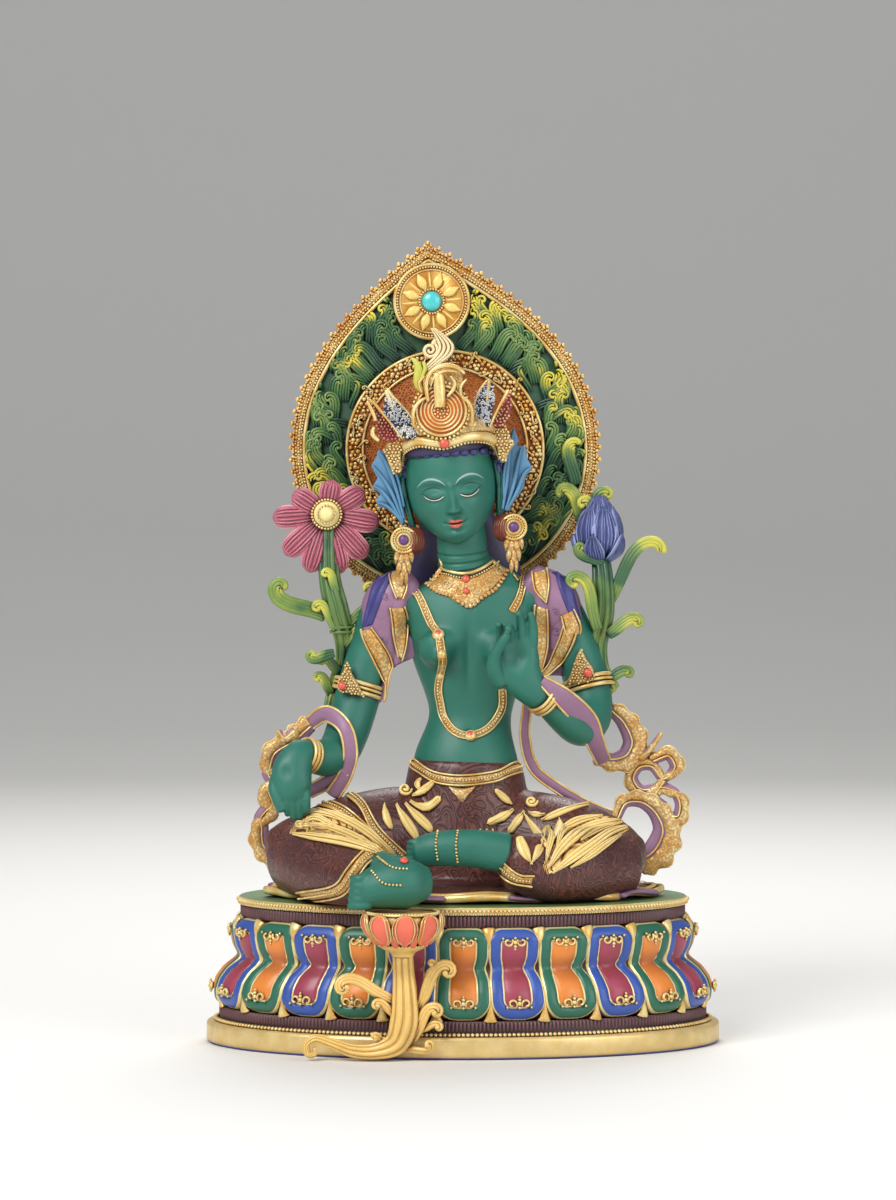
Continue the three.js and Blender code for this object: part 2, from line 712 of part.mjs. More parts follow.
function makeOpenLotus() {
  const centre = [-50.6, 11, 140.6];
  const seedRadius = openLotusRadius * 0.255;
  const petals = petalTurns.map((degrees) => {
    const turn = THREE.MathUtils.degToRad(degrees); // from straight down, round to the right
    const reach = openLotusRadius * (0.79 + 0.21 * Math.cos(turn));
    const station = (part, back, half) => [
      centre[0] + reach * part * Math.sin(turn),
      centre[1] + back,
      centre[2] - reach * part * Math.cos(turn),
      half * openLotusRadius,
      openLotusRadius * 0.1,
    ];
    return limb([
      station(0.24, 0.5, 0.07),
      station(0.62, -1, 0.16),
      station(0.93, -1, 0.13),
    ], { sides: 4, dome: 0.6 });
  });
  const seedHead = ball([centre[0], centre[1] - 3, centre[2]], [seedRadius, 3.4, seedRadius],
    { across: 8, down: 4 });
  const stem = limb([
    [-50, 13, 138, stemRadius * 0.9],
    [-49.6, 9, 118, stemRadius],
    [-47, 7, 106, stemRadius * 1.1],
    [-44, 9.5, 95, stemRadius],
    [-43.6, 13.5, 86, stemRadius],
    [-47, 13, 77, stemRadius * 0.8],
    [-49.6, 9, 68, stemRadius * 0.6],
  ], { sides: 6 });
  const leaves = [
    leafTrail([[-47, 7, 101, 2.6], [-56, 7, 100, 2.4], [-62, 6, 104, 1.8], [-61, 5, 111, 2],
      [-64, 5, 117, 3.2], [-67.5, 5, 115, 2]]),
    leafTrail([[-45, 10, 93, 2], [-51, 8, 88, 2.8], [-54.5, 7, 85, 1.8]]),
    leafTrail([[-45, 8, 95, 2], [-41, 8, 104, 1.8], [-34, 9, 112, 1.6]]),
    leafTrail([[-49, 10, 70, 2], [-52, 10, 76, 2.4], [-49.6, 12, 81, 1.6]]),
  ];
  return joined([...petals, seedHead, stem, ...leaves]);
}

function makeBlueLotus() {
  const bud = limb([
    [51, 13, 124, budRadius * 0.45],
    [51, 13, 130, budRadius * 0.9],
    [50.8, 13, 137, budRadius],
    [50.4, 13, 143, budRadius * 0.8],
    [50, 13, 148, budRadius * 0.3],
  ], { sides: 8 });
  const stem = limb([
    [51, 13, 127, stemRadius * 0.8],
    [52, 9, 117, stemRadius * 1.1],
    [52, 8, 104, stemRadius * 1.2],
    [49.6, 8, 92, stemRadius * 1.1],
    [50.6, 7.4, 83, stemRadius],
    [55, 6, 75.4, stemRadius * 0.9],
  ], { sides: 6 });
  const leaves = [
    leafTrail([[49, 8, 96, 2], [46, 8, 109, 2.2], [44.6, 8, 119, 1.8], [39, 8, 120, 2],
      [38.4, 7, 114, 2.2]]),
    leafTrail([[53, 9, 106, 2], [58, 9, 119, 2], [61.5, 10, 128, 1.8], [67, 10, 135.5, 2.2],
      [72.4, 10, 133, 1.4]]),
    leafTrail([[51, 8, 95, 2], [57.6, 7, 101, 2.4], [61.5, 7, 96, 1.8]]),
    leafTrail([[50, 15, 138, 2.6, 3], [43.6, 19, 148, 3.4, 3], [41.4, 22, 160, 3.2, 3],
      [38.6, 24, 169, 1.4, 2]]),
    leafTrail([[56, 6, 74, 2.4], [57.6, 5, 70, 3], [56.4, 5, 66, 1.6]]),
  ];
  return joined([bud, stem, ...leaves]);
}

// Scarves: flat bands that lie along the picture plane, in loops
function band(stations, rings, depth = bandDepth) {
  const full = stations.map(([x, y, z, halfWidth]) => [x, y, z, halfWidth, depth]);
  return limb(full, { sides: 4, rings, dome: 0.2 });
}

function makeLeftScarf() {
  return joined([
    band([[29, -24, 80, 2], [37, -22.5, 73.5, 4], [45, -15, 65, 4.6], [49, -8, 56, 3.6],
      [52, 1, 49.4, 3]], 6, 1.6),
    band([[50, 2, 51, 3], [55, 5, 48.6, 3.4], [61.6, 7, 50, 4.6], [64.4, 8, 56, 4.8],
      [61, 8, 63.6, 4], [55.4, 7, 68.6, 2.6]], 8),
    band([[66, 7, 50, 2], [69.4, 6, 53, 1.8], [73.6, 5, 59, 1.2]], 3),
    band([[70.5, 7, 49.4, 2], [76.6, 6, 51.6, 2.6], [79.6, 6, 46.6, 2.8], [74.6, 7, 42.6, 2.2],
      [70.4, 8, 47.4, 2.4], [65, 8, 47, 2.6], [62.6, 8, 42, 2.6], [66.4, 8, 37.4, 2.6],
      [75, 7, 38.4, 2.6], [81, 6, 34.6, 2.6], [80.6, 6, 28, 2.8], [76, 7, 27.6, 2.6]], 13),
    band([[56.8, 3, 28, 2], [60, 4, 34, 2.6], [66.6, 5, 34.6, 3.2], [72.6, 6, 30.4, 4],
      [76, 6, 23, 5.4], [73, 6, 15, 6], [66, 6, 10, 4.6]], 8),
    band([[74.6, 7, 41.6, 2], [70, 7, 34.6, 3.4], [74, 7, 31, 3.4]], 3),
    band([[23.8, -8, 71, 1.6], [23, -2, 58, 2], [26.4, 2, 46.4, 2], [36, 3, 38.6, 2],
      [47, 3, 32, 2.2], [58, 3, 27.6, 2.2]], 7, 1.8),
  ]);
}

function makeRightScarf() {
  return joined([
    band([[-57, 0, 63, 2.6], [-50.4, -4, 67, 3.2], [-43.6, -10, 62.4, 2.8], [-41.4, -11, 53, 2.8],
      [-43.4, -9, 44.6, 2.8], [-48, -7, 37, 3]], 7, 1.6),
    band([[-43.6, -9, 46.6, 2.6], [-51, -5, 41.4, 2.8], [-57, -2, 38, 2.6]], 3),
    band([[-62, -2, 60, 3], [-66, -2, 57.6, 2.4], [-68.4, -2, 60.4, 1.4]], 3),
    band([[-57, 0, 63, 3.4], [-63, -1, 58, 4], [-70.6, -2, 52.6, 3.6], [-71.6, -2, 45.6, 3.6],
      [-68, -2, 41, 3.6], [-72.6, -2, 38, 4], [-71, -2, 32, 4], [-75, -2, 26, 3.6],
      [-74.6, -3, 17.6, 3.6], [-68, -5, 11.4, 3.4]], 11),
  ]);
}

// Small lotus under her outstretched foot
const bowlCentre = onPlate.place(-21.6, -66.5, 0);

function makeFootLotus() {
  const top = plateTop;
  const profile = [
    [0, 0], [footBowlRadius * 0.92, 0], [footBowlRadius, -1.2], [footBowlRadius, -4.6],
    [footBowlRadius * 0.84, -8.6], [footBowlRadius * 0.6, -11.2], [footBowlRadius * 0.62, -12.4],
    [footBowlRadius * 0.3, -footBowlHeight], [0, -footBowlHeight],
  ].map(([radius, drop]) => new THREE.Vector2(radius, drop));
  const lathe = new THREE.LatheGeometry(profile, 12);
  lathe.rotateX(Math.PI / 2);
  const bowl = setIn(lathe, [bowlCentre.x, bowlCentre.y, top], { at: onFloor });
  const middle = bowlCentre.x;
  const front = -plinthHalf * depthShare - footStemRadius * 0.4;
  const along = (x, z, half, deep = half) => [middle + x, front, z * top, half, deep];
  const trail = (stations) => limb(stations, { at: onFloor, sides: 4 });
  const stem = limb([
    [bowlCentre.x, bowlCentre.y, top - footBowlHeight + 1, footStemRadius * 0.7],
    along(0.3, 0.58, footStemRadius * 0.95, footStemRadius * 0.8),
    along(0.8, 0.42, footStemRadius * 1.15, footStemRadius * 0.8),
    along(0.4, 0.26, footStemRadius * 1.05, footStemRadius * 0.8),
    along(-2.6, 0.12, footStemRadius * 0.8, footStemRadius * 0.7),
    along(-10, 0.065, footStemRadius * 0.6, footStemRadius * 0.6),
    along(-18, 0.07, footStemRadius * 0.45, footStemRadius * 0.5),
    along(-25, 0.115, footStemRadius * 0.4),
    along(-31, 0.14, footStemRadius * 0.35),
    along(-33.5, 0.09, footStemRadius * 0.3),
  ], { at: onFloor, sides: 6 });
  const leaves = [
    trail([along(-2, 0.42, 1.6), along(-8, 0.57, 1.8), along(-17, 0.64, 2.2), along(-22.6, 0.6, 2.2),
      along(-22, 0.5, 1.8)]),
    trail([along(2, 0.4, 1.6), along(5.6, 0.58, 1.8), along(13, 0.68, 2), along(21.4, 0.6, 2.2),
      along(18, 0.48, 1.8)]),
    trail([along(-1, 0.32, 1.6), along(-5, 0.46, 2), along(-9, 0.49, 1.6)]),
    trail([along(3, 0.24, 1.6), along(9, 0.37, 2), along(16.6, 0.33, 2), along(13, 0.28, 1.4)]),
    trail([along(2, 0.16, 1.6), along(9, 0.23, 1.6), along(14, 0.25, 1.2)]),
  ];
  return joined([bowl, stem, ...leaves]);
}

// The pieces, with their paint
function piece(name, solid, colour, roughness, metalness) {
  const mesh = solid.getMesh();
  const geometry = new THREE.BufferGeometry();
  geometry.setAttribute('position', new THREE.BufferAttribute(mesh.vertProperties, 3));
  geometry.setIndex(new THREE.BufferAttribute(mesh.triVerts, 1));
  geometry.computeVertexNormals();
  const material = new THREE.MeshStandardMaterial({ color: colour, roughness, metalness });
  const made = new THREE.Mesh(geometry, material);
  made.name = name;
  return made;
}

const plinth = makePlinth();
const figure = makeFigure();
const footLotus = clearOf(makeFootLotus(), [plinth, figure]);
const aureole = clearOf(makeAureole(), [figure]);
const medallionStone = makeMedallionStone();
const openLotus = clearOf(makeOpenLotus(), [figure, aureole]);
const blueLotus = clearOf(makeBlueLotus(), [figure, aureole]);
const scarfLeft = clearOf(makeLeftScarf(), [figure, blueLotus, plinth]);
const scarfRight = clearOf(makeRightScarf(), [figure, openLotus, plinth]);

const tara = new THREE.Group();
tara.add(piece('plinth', plinth, 0x32559b, 0.5, 0.1));
tara.add(piece('foot_lotus', footLotus, 0xe6cd82, 0.35, 0.8));
tara.add(piece('figure', figure, 0x2a7864, 0.5, 0));
tara.add(piece('aureole', aureole, 0x508238, 0.5, 0.2));
tara.add(piece('medallion_stone', medallionStone, 0x46bec3, 0.3, 0));
tara.add(piece('open_lotus', openLotus, 0xb95a6e, 0.5, 0));
tara.add(piece('blue_lotus', blueLotus, 0x4b5a96, 0.5, 0));
tara.add(piece('scarf_left', scarfLeft, 0x966e8c, 0.5, 0.1));
tara.add(piece('scarf_right', scarfRight, 0x966e8c, 0.5, 0.1));

export default tara;
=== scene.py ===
import bpy
import math
import random
import numpy as np
from mathutils import Matrix, Vector
from mathutils.bvhtree import BVHTree


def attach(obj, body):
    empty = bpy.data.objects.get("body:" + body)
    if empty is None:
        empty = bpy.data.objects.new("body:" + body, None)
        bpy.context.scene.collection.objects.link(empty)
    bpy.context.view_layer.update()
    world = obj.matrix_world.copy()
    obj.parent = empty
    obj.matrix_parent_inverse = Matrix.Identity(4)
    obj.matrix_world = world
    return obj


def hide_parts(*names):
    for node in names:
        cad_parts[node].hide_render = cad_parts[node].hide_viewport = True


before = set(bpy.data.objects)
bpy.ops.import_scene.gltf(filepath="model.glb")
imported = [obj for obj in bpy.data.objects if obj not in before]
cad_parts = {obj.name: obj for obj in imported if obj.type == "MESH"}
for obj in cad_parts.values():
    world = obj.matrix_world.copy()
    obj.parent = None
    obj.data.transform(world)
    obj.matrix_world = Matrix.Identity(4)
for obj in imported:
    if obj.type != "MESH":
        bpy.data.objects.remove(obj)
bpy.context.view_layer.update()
mm = 0.001
bpy.ops.object.select_all(action="DESELECT")

# Where things stand, in millimetres, as on the solids
places = {
    "plate": 54.3,  # level that the figure sits on
    "head": (-3.7, 2.5, 147), "headBow": 8, "headTilt": -8,
    "halo": (-6.6, 34, 165), "haloLean": -5.2,
}
view = {"spot": (-5.5, -1650, 205), "aim": (-5.5, 0, 163.2), "lens": 133.8}
front = np.array((0.0, -1.0, 0.0))
upward = np.array((0.0, 0.0, 1.0))


def turnMatrix(bow, tilt):
    return np.array(Matrix.Rotation(math.radians(bow), 3, "X") @ Matrix.Rotation(math.radians(tilt), 3, "Y"))


headTurn = turnMatrix(places["headBow"], places["headTilt"])
haloTurn = turnMatrix(0, places["haloLean"])


def onFloor(points):
    return np.array(points, float)


def onPlate(points):
    return np.array(points, float) + (0, 0, places["plate"])


def onHead(points):
    return onPlate(np.array(points, float) @ headTurn.T + places["head"])


def onHalo(points):
    return onPlate(np.array(points, float) @ haloTurn.T + places["halo"])


# ---------------------------------------------------------------- rows and sweeps
def unit(rows):
    return rows / np.maximum(np.linalg.norm(rows, axis=-1, keepdims=True), 1e-9)


def through(rows, count, closed=False):  # a smooth row of numbers through the given ones
    rows = np.array(rows, float)
    if closed:
        padded = np.vstack([rows[-1:], rows, rows[:2]])
        spans = len(rows)
    else:
        padded = np.vstack([2 * rows[0] - rows[1], rows, 2 * rows[-1] - rows[-2]])
        spans = len(rows) - 1
    t = np.linspace(0, spans, count, endpoint=not closed)
    i = np.minimum(t.astype(int), spans - 1)
    f = (t - i)[:, None]
    a, b, c, d = padded[i], padded[i + 1], padded[i + 2], padded[i + 3]
    return 0.5 * (2 * b + (c - a) * f + (2 * a - 5 * b + 4 * c - d) * f ** 2 + (3 * b - a - 3 * c + d) * f ** 3)


def corners(piece):
    raw = np.empty(len(piece.data.vertices) * 3)
    piece.data.vertices.foreach_get("co", raw)
    return raw.reshape(-1, 3)


def reshape(piece, points):
    piece.data.vertices.foreach_set("co", (np.asarray(points) * mm).ravel())
    piece.data.update()


def spread(value, count):
    return np.full(count, float(value)) if np.isscalar(value) else np.asarray(value, float)


# A closed tube of oval sections: a ball whose rings are moved along the row of centres
def sweep(centres, outs, widths, heights, sides=10, dome=0.6, caps=3):
    centres = np.array(centres, float)
    count = len(centres)
    widths, heights = spread(widths, count), spread(heights, count)
    alongs = unit(np.gradient(centres, axis=0))
    outs = np.broadcast_to(np.asarray(outs, float), centres.shape)
    outs = unit(outs - alongs * (outs * alongs).sum(1, keepdims=True))
    across = np.cross(alongs, outs)
    rings = count - 1 + 2 * caps
    bpy.ops.mesh.primitive_uv_sphere_add(segments=sides, ring_count=rings)
    piece = bpy.context.active_object
    raw = corners(piece)
    ring = np.rint((0.5 - np.arcsin(np.clip(raw[:, 2], -1, 1)) / np.pi) * rings)
    step = ring - caps
    spot = np.clip(step, 0, count - 1).astype(int)
    past = np.where(step < 0, -step, np.maximum(step - count + 1, 0)) / caps * np.pi / 2
    reach = np.sin(past) * np.where(step < 0, -1, 1) * dome * np.minimum(widths, heights)[spot]
    turn = np.arctan2(raw[:, 1], raw[:, 0])
    wide = (np.cos(turn) * widths[spot] * np.cos(past))[:, None]
    high = (np.sin(turn) * heights[spot] * np.cos(past))[:, None]
    reshape(piece, centres[spot] + alongs[spot] * reach[:, None] + across[spot] * wide + outs[spot] * high)
    for label, values in (("along", np.clip(step, 0, count - 1) / (count - 1)), ("across", np.cos(turn) * np.cos(past))):
        piece.data.attributes.new(label, "FLOAT", "POINT").data.foreach_set("value", values)
    return piece


# A limb through stations of [x, y, z, half width, half depth]
def limb(stations, facing=front, sides=24, rings=None, at=onPlate, dome=0.5, caps=5):
    full = [list(s) + [s[3]] if len(s) == 4 else list(s) for s in stations]
    rows = through(full, rings or 10 * len(full))
    return sweep(at(rows[:, :3]), facing, rows[:, 3], rows[:, 4], sides, dome, caps)


def ball(centre, radii, at=onPlate, segments=24, rings=16):
    bpy.ops.mesh.primitive_uv_sphere_add(segments=segments, ring_count=rings)
    piece = bpy.context.active_object
    reshape(piece, at(corners(piece) * np.array(radii) + np.array(centre)))
    return piece


# A closed hoop of oval section round a row of centres
def hoop(centres, outs, widths, heights, sides=8):
    centres = np.array(centres, float)
    count = len(centres)
    widths, heights = spread(widths, count), spread(heights, count)
    alongs = unit(np.roll(centres, -1, 0) - np.roll(centres, 1, 0))
    outs = np.broadcast_to(np.asarray(outs, float), centres.shape)
    outs = unit(outs - alongs * (outs * alongs).sum(1, keepdims=True))
    across = np.cross(alongs, outs)
    bpy.ops.mesh.primitive_torus_add(major_segments=count, minor_segments=sides,
                                     major_radius=1, minor_radius=0.25)
    piece = bpy.context.active_object
    raw = corners(piece)
    spot = np.rint(np.arctan2(raw[:, 1], raw[:, 0]) / (2 * np.pi) * count).astype(int) % count
    turn = np.arctan2(raw[:, 2], np.hypot(raw[:, 0], raw[:, 1]) - 1)
    wide = (np.cos(turn) * widths[spot])[:, None]
    high = (np.sin(turn) * heights[spot])[:, None]
    reshape(piece, centres[spot] + across[spot] * wide + outs[spot] * high)
    return piece


def meshOf(name, points, faces):
    mesh = bpy.data.meshes.new(name)
    mesh.from_pydata((np.asarray(points) * mm).tolist(), [], faces)
    piece = bpy.data.objects.new(name, mesh)
    bpy.context.collection.objects.link(piece)
    return piece


# Copies of one small shape, each set on its spot and looking along its own out direction
def copies(proto, spots, outs, sizes, ups=upward):
    spots = np.array(spots, float)
    count = len(spots)
    outs = unit(np.broadcast_to(np.asarray(outs, float), spots.shape))
    ups = np.broadcast_to(np.asarray(ups, float), spots.shape)
    across = unit(np.cross(ups, outs) + 1e-6)
    over = np.cross(outs, across)
    sizes = np.asarray(sizes, float)
    if sizes.ndim < 2:
        sizes = np.repeat(spread(sizes if sizes.ndim else float(sizes), count)[:, None], 3, 1)
    base = corners(proto) / mm
    points = (spots[:, None] + across[:, None] * (base[None, :, 0:1] * sizes[:, None, 0:1])
              + over[:, None] * (base[None, :, 1:2] * sizes[:, None, 1:2])
              + outs[:, None] * (base[None, :, 2:3] * sizes[:, None, 2:3])).reshape(-1, 3)
    polygons = [tuple(p.vertices) for p in proto.data.polygons]
    faces = [tuple(i + k * len(base) for i in face) for k in range(count) for face in polygons]
    return meshOf("copies", points, faces)


def remove(*pieces):
    for piece in pieces:
        bpy.data.objects.remove(piece)


def pick(pieces):
    bpy.ops.object.select_all(action="DESELECT")
    for piece in pieces:
        piece.select_set(True)
    bpy.context.view_layer.objects.active = pieces[0]


def together(name, pieces, paint=None):
    pick(pieces)
    if len(pieces) > 1:
        bpy.ops.object.join()
    piece = bpy.context.active_object
    piece.name = name
    piece.data.name = name
    bpy.ops.object.shade_smooth()
    if paint is not None:
        finish(piece, paint)
    return piece


thinned = {"robe": 0.24, "skin_head": 0.29, "skin_trunk": 0.25, "hair": 0.3, "skin_standing_foot": 0.32,
           "skin_lying_foot": 0.35, "skin_raised_hand": 0.42, "skin_hanging_hand": 0.42,
           "plinth_petals": 0.65, "aureole_scrolls": 0.7, "foot_lotus_stem": 0.65, "open_lotus_petals": 0.7,
           "blue_lotus_bud": 0.65}


def finish(piece, paint):
    if piece.name in thinned:
        bpy.context.view_layer.objects.active = piece
        thin = piece.modifiers.new("thin", "DECIMATE")
        thin.ratio = thinned[piece.name]
        bpy.ops.object.modifier_apply(modifier="thin")
    piece.data.materials.clear()
    piece.data.materials.append(paint)
    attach(piece, "root")


# Melts overlapping bodies into one smooth skin
def fuse(name, pieces, voxel, passes=8, factor=0.6):
    piece = together(name, pieces)
    melt = piece.modifiers.new("melt", "REMESH")
    melt.mode = "VOXEL"
    melt.voxel_size = voxel * mm
    bpy.ops.object.modifier_apply(modifier="melt")
    soften(piece, passes, factor)
    bpy.ops.object.shade_smooth()
    return piece


def soften(piece, passes, factor=0.6):
    if passes:
        pick([piece])
        smooth = piece.modifiers.new("soften", "SMOOTH")
        smooth.iterations = passes
        smooth.factor = factor
        bpy.ops.object.modifier_apply(modifier="soften")


def treeOf(*pieces):
    points, faces = [], []
    for piece in pieces:
        start = len(points)
        points += (corners(piece) / mm).tolist()
        faces += [[start + i for i in p.vertices] for p in piece.data.polygons]
    return BVHTree.FromPolygons(points, faces)


# A point of the picture, laid on a surface: a tree, or a plain depth behind the middle
def land(surface, across, down, depth=0):
    start = Vector(view["spot"])
    aim = Vector(((across - 463) * 0.37, 0, 205 + (487 - down) * 0.37)) - start
    if not isinstance(surface, BVHTree):
        return start + aim * (1 + surface / 1650), Vector(front)
    spot, out, _, _ = surface.ray_cast(start, aim.normalized())
    if spot is None:
        spot, out, _, _ = surface.find_nearest(start + aim * (1 + depth / 1650))
    return spot, out


def settle(rows, passes):
    for _ in range(passes):
        rows[1:-1] = (rows[:-2] + 2 * rows[1:-1] + rows[2:]) / 4
    return rows


def lay(surface, picture, count, lift=0, depth=0, passes=3):
    rows = through(picture, count)
    landed = [land(surface, row[0], row[1], depth) for row in rows]
    spots = settle(np.array([spot for spot, _ in landed]), passes)
    outs = unit(settle(np.array([out for _, out in landed]), passes * 2))
    return spots + outs * lift, outs, rows


tapers = {
    "even": lambda t: np.ones_like(t),
    "leaf": lambda t: 0.12 + 0.88 * np.sin(np.pi * np.clip(t, 0, 1)) ** 0.8,
    "drop": lambda t: 0.18 + 0.82 * np.clip(t, 0, 1) ** 0.8,
    "tail": lambda t: 1 - 0.8 * t ** 1.5,
}


# A raised line or leaf that follows the picture over a surface
def strand(surface, picture, width, height, lift=0.0, count=None, sides=7, taper="even", depth=0, dome=1.0):
    length = np.linalg.norm(np.diff(np.array(picture, float)[:, :2], axis=0), axis=1).sum() * 0.37
    count = count or int(np.clip(length / 1.0, 8, 130))
    spots, outs, rows = lay(surface, picture, count, lift, depth)
    share = tapers[taper](np.linspace(0, 1, count))
    widths = rows[:, 2] * 0.37 if rows.shape[1] > 2 else share * width
    heights = height * np.minimum(1, widths / max(widths.max(), 1e-6) + 0.25)
    return sweep(spots, outs, widths, heights, sides, dome, 3)


def bead(segments=6, rings=4):
    bpy.ops.mesh.primitive_uv_sphere_add(segments=segments, ring_count=rings)
    piece = bpy.context.active_object
    reshape(piece, corners(piece))
    return piece


def evenly(rows, pitch):  # spots a pitch apart along a row
    steps = np.linalg.norm(np.diff(rows, axis=0), axis=1)
    length = np.concatenate([[0], np.cumsum(steps)])
    wanted = np.arange(0, length[-1], length[-1] / max(1, round(length[-1] / pitch)))
    return np.stack([np.interp(wanted, length, rows[:, i]) for i in range(rows.shape[1])], 1)


def beadRow(surface, picture, pitch, radius, lift=0.0, depth=0):
    spots, outs, _ = lay(surface, picture, 120, lift, depth)
    rows = evenly(np.hstack([spots, outs]), pitch)
    proto = bead()
    made = copies(proto, rows[:, :3], rows[:, 3:], radius)
    remove(proto)
    return made


# Fine grains strewn over a band that follows the picture
def grains(surface, picture, width, pitch, radius, seed, lift=0.0, depth=0):
    dice = random.Random(seed)
    spots, outs, rows = lay(surface, picture, 160, lift, depth)
    widths = rows[:, 2:3] * 0.37 if rows.shape[1] > 2 else np.full((len(rows), 1), width)
    line = evenly(np.hstack([spots, outs, widths]), pitch)
    alongs = unit(np.gradient(line[:, :3], axis=0))
    across = np.cross(alongs, line[:, 3:6])
    placed, facing, sizes = [], [], []
    for row, side, along in zip(line, across, alongs):
        for lane in np.arange(-row[6] + radius, row[6], pitch):
            jitter = (dice.random() - 0.5) * pitch * 0.6
            placed.append(row[:3] + side * (lane + jitter) + along * (dice.random() - 0.5) * pitch * 0.8)
            facing.append(row[3:6])
            sizes.append(radius * (0.7 + 0.6 * dice.random()))
    proto = bead(6, 4)
    made = copies(proto, placed, facing, sizes)
    remove(proto)
    return made


# ---------------------------------------------------------------- paints
def tone(red, green, blue):
    def linear(c):
        c = c / 255
        return c / 12.92 if c <= 0.04045 else ((c + 0.055) / 1.055) ** 2.4
    return (linear(red), linear(green), linear(blue), 1)


def makeGroup(name, inputs, outputs):
    kinds = {"colour": "NodeSocketColor", "value": "NodeSocketFloat"}
    tree = bpy.data.node_groups.new(name, "ShaderNodeTree")
    for label, kind, start in inputs:
        tree.interface.new_socket(label, in_out="INPUT", socket_type=kinds[kind]).default_value = start
    for label, kind in outputs:
        tree.interface.new_socket(label, in_out="OUTPUT", socket_type=kinds[kind])
    return tree, tree.nodes.new("NodeGroupInput").outputs, tree.nodes.new("NodeGroupOutput").inputs


def put(tree, socket, value):
    if isinstance(value, bpy.types.NodeSocket):
        tree.links.new(value, socket)
    else:
        socket.default_value = value


def node(tree, kind, sockets=None, **settings):
    made = tree.nodes.new("ShaderNode" + kind)
    for key, value in settings.items():
        setattr(made, key, value)
    for key, value in (sockets or {}).items():
        put(tree, made.inputs[key], value)
    return made


def calc(tree, operation, *values, clamp=False):
    made = node(tree, "Math", operation=operation, use_clamp=clamp)
    for socket, value in zip(made.inputs, values):
        put(tree, socket, value)
    return made.outputs[0]


def blend(tree, factor, first, second, kind="MIX"):
    made = node(tree, "Mix", {0: factor, 6: first, 7: second}, data_type="RGBA", blend_type=kind)
    return made.outputs[2]


def between(tree, value, low, high, toLow=0.0, toHigh=1.0):
    made = node(tree, "MapRange", {0: value, 1: low, 2: high, 3: toLow, 4: toHigh},
                interpolation_type="SMOOTHSTEP")
    return made.outputs[0]


def noise(tree, scale, detail=3.0, where=None):
    made = node(tree, "TexNoise", {"Scale": scale, "Detail": detail})
    put(tree, made.inputs["Vector"], where or node(tree, "TexCoord").outputs["Object"])
    return made.outputs["Fac"]


def attribute(tree, name):
    return node(tree, "Attribute", attribute_name=name).outputs["Fac"]


# Painted shade in the grooves, from ambient occlusion, standing also for the dark antique wash there: 0 in a groove, 1
# in the open
def recessGroup():
    tree, given, out = makeGroup("grooveShadeAndWash", [("Reach", "value", 0.002), ("Strength", "value", 1.0)],
                                 [("Open", "value")])
    # ambient occlusion made into painted shade: lower where less light reaches the surface
    shade = node(tree, "AmbientOcclusion", {"Distance": given["Reach"]}, samples=5)
    open_ = between(tree, shade.outputs["AO"], 0.25, 0.85)
    soft = calc(tree, "SUBTRACT", 1.0, open_)
    tree.links.new(calc(tree, "SUBTRACT", 1.0, calc(tree, "MULTIPLY", soft, given["Strength"])), out["Open"])
    return tree


# Brushed paint: uneven thickness, painted shade in the grooves, fine grain
def paintGroup(groove):
    tree, given, out = makeGroup("brushedPaint", [
        ("Paint", "colour", (0.5, 0.5, 0.5, 1)), ("Groove", "colour", (0, 0, 0, 1)),
        ("Reach", "value", 0.002), ("ShadeAndWash", "value", 1.0), ("Mottle", "value", 0.15),
        ("Gloss", "value", 0.5), ("Grain", "value", 1.0),
    ], [("Colour", "colour"), ("Roughness", "value"), ("Height", "value")])
    open_ = tree.nodes.new("ShaderNodeGroup")
    open_.node_tree = groove
    put(tree, open_.inputs["Reach"], given["Reach"])
    put(tree, open_.inputs["Strength"], given["ShadeAndWash"])
    cloudy = noise(tree, 120.0)
    fine = noise(tree, 1500.0, 4.0)
    swing = calc(tree, "MULTIPLY", calc(tree, "SUBTRACT", cloudy, 0.5), calc(tree, "MULTIPLY", given["Mottle"], 2.6))
    bright = calc(tree, "ADD", 1.0, swing)
    bright = calc(tree, "ADD", bright, calc(tree, "MULTIPLY", calc(tree, "SUBTRACT", fine, 0.5),
                                            calc(tree, "MULTIPLY", given["Mottle"], 0.9)))
    grey = node(tree, "CombineColor", {0: bright, 1: bright, 2: bright}).outputs[0]
    painted = blend(tree, 1.0, given["Paint"], grey, "MULTIPLY")
    # painted shade: the groove colour is laid where ambient occlusion finds little light
    tree.links.new(blend(tree, open_.outputs["Open"], given["Groove"], painted), out["Colour"])
    tree.links.new(calc(tree, "ADD", given["Gloss"], calc(tree, "MULTIPLY", calc(tree, "SUBTRACT", cloudy, 0.5), 0.3),
                        clamp=True), out["Roughness"])
    tree.links.new(calc(tree, "MULTIPLY", fine, given["Grain"]), out["Height"])
    return tree
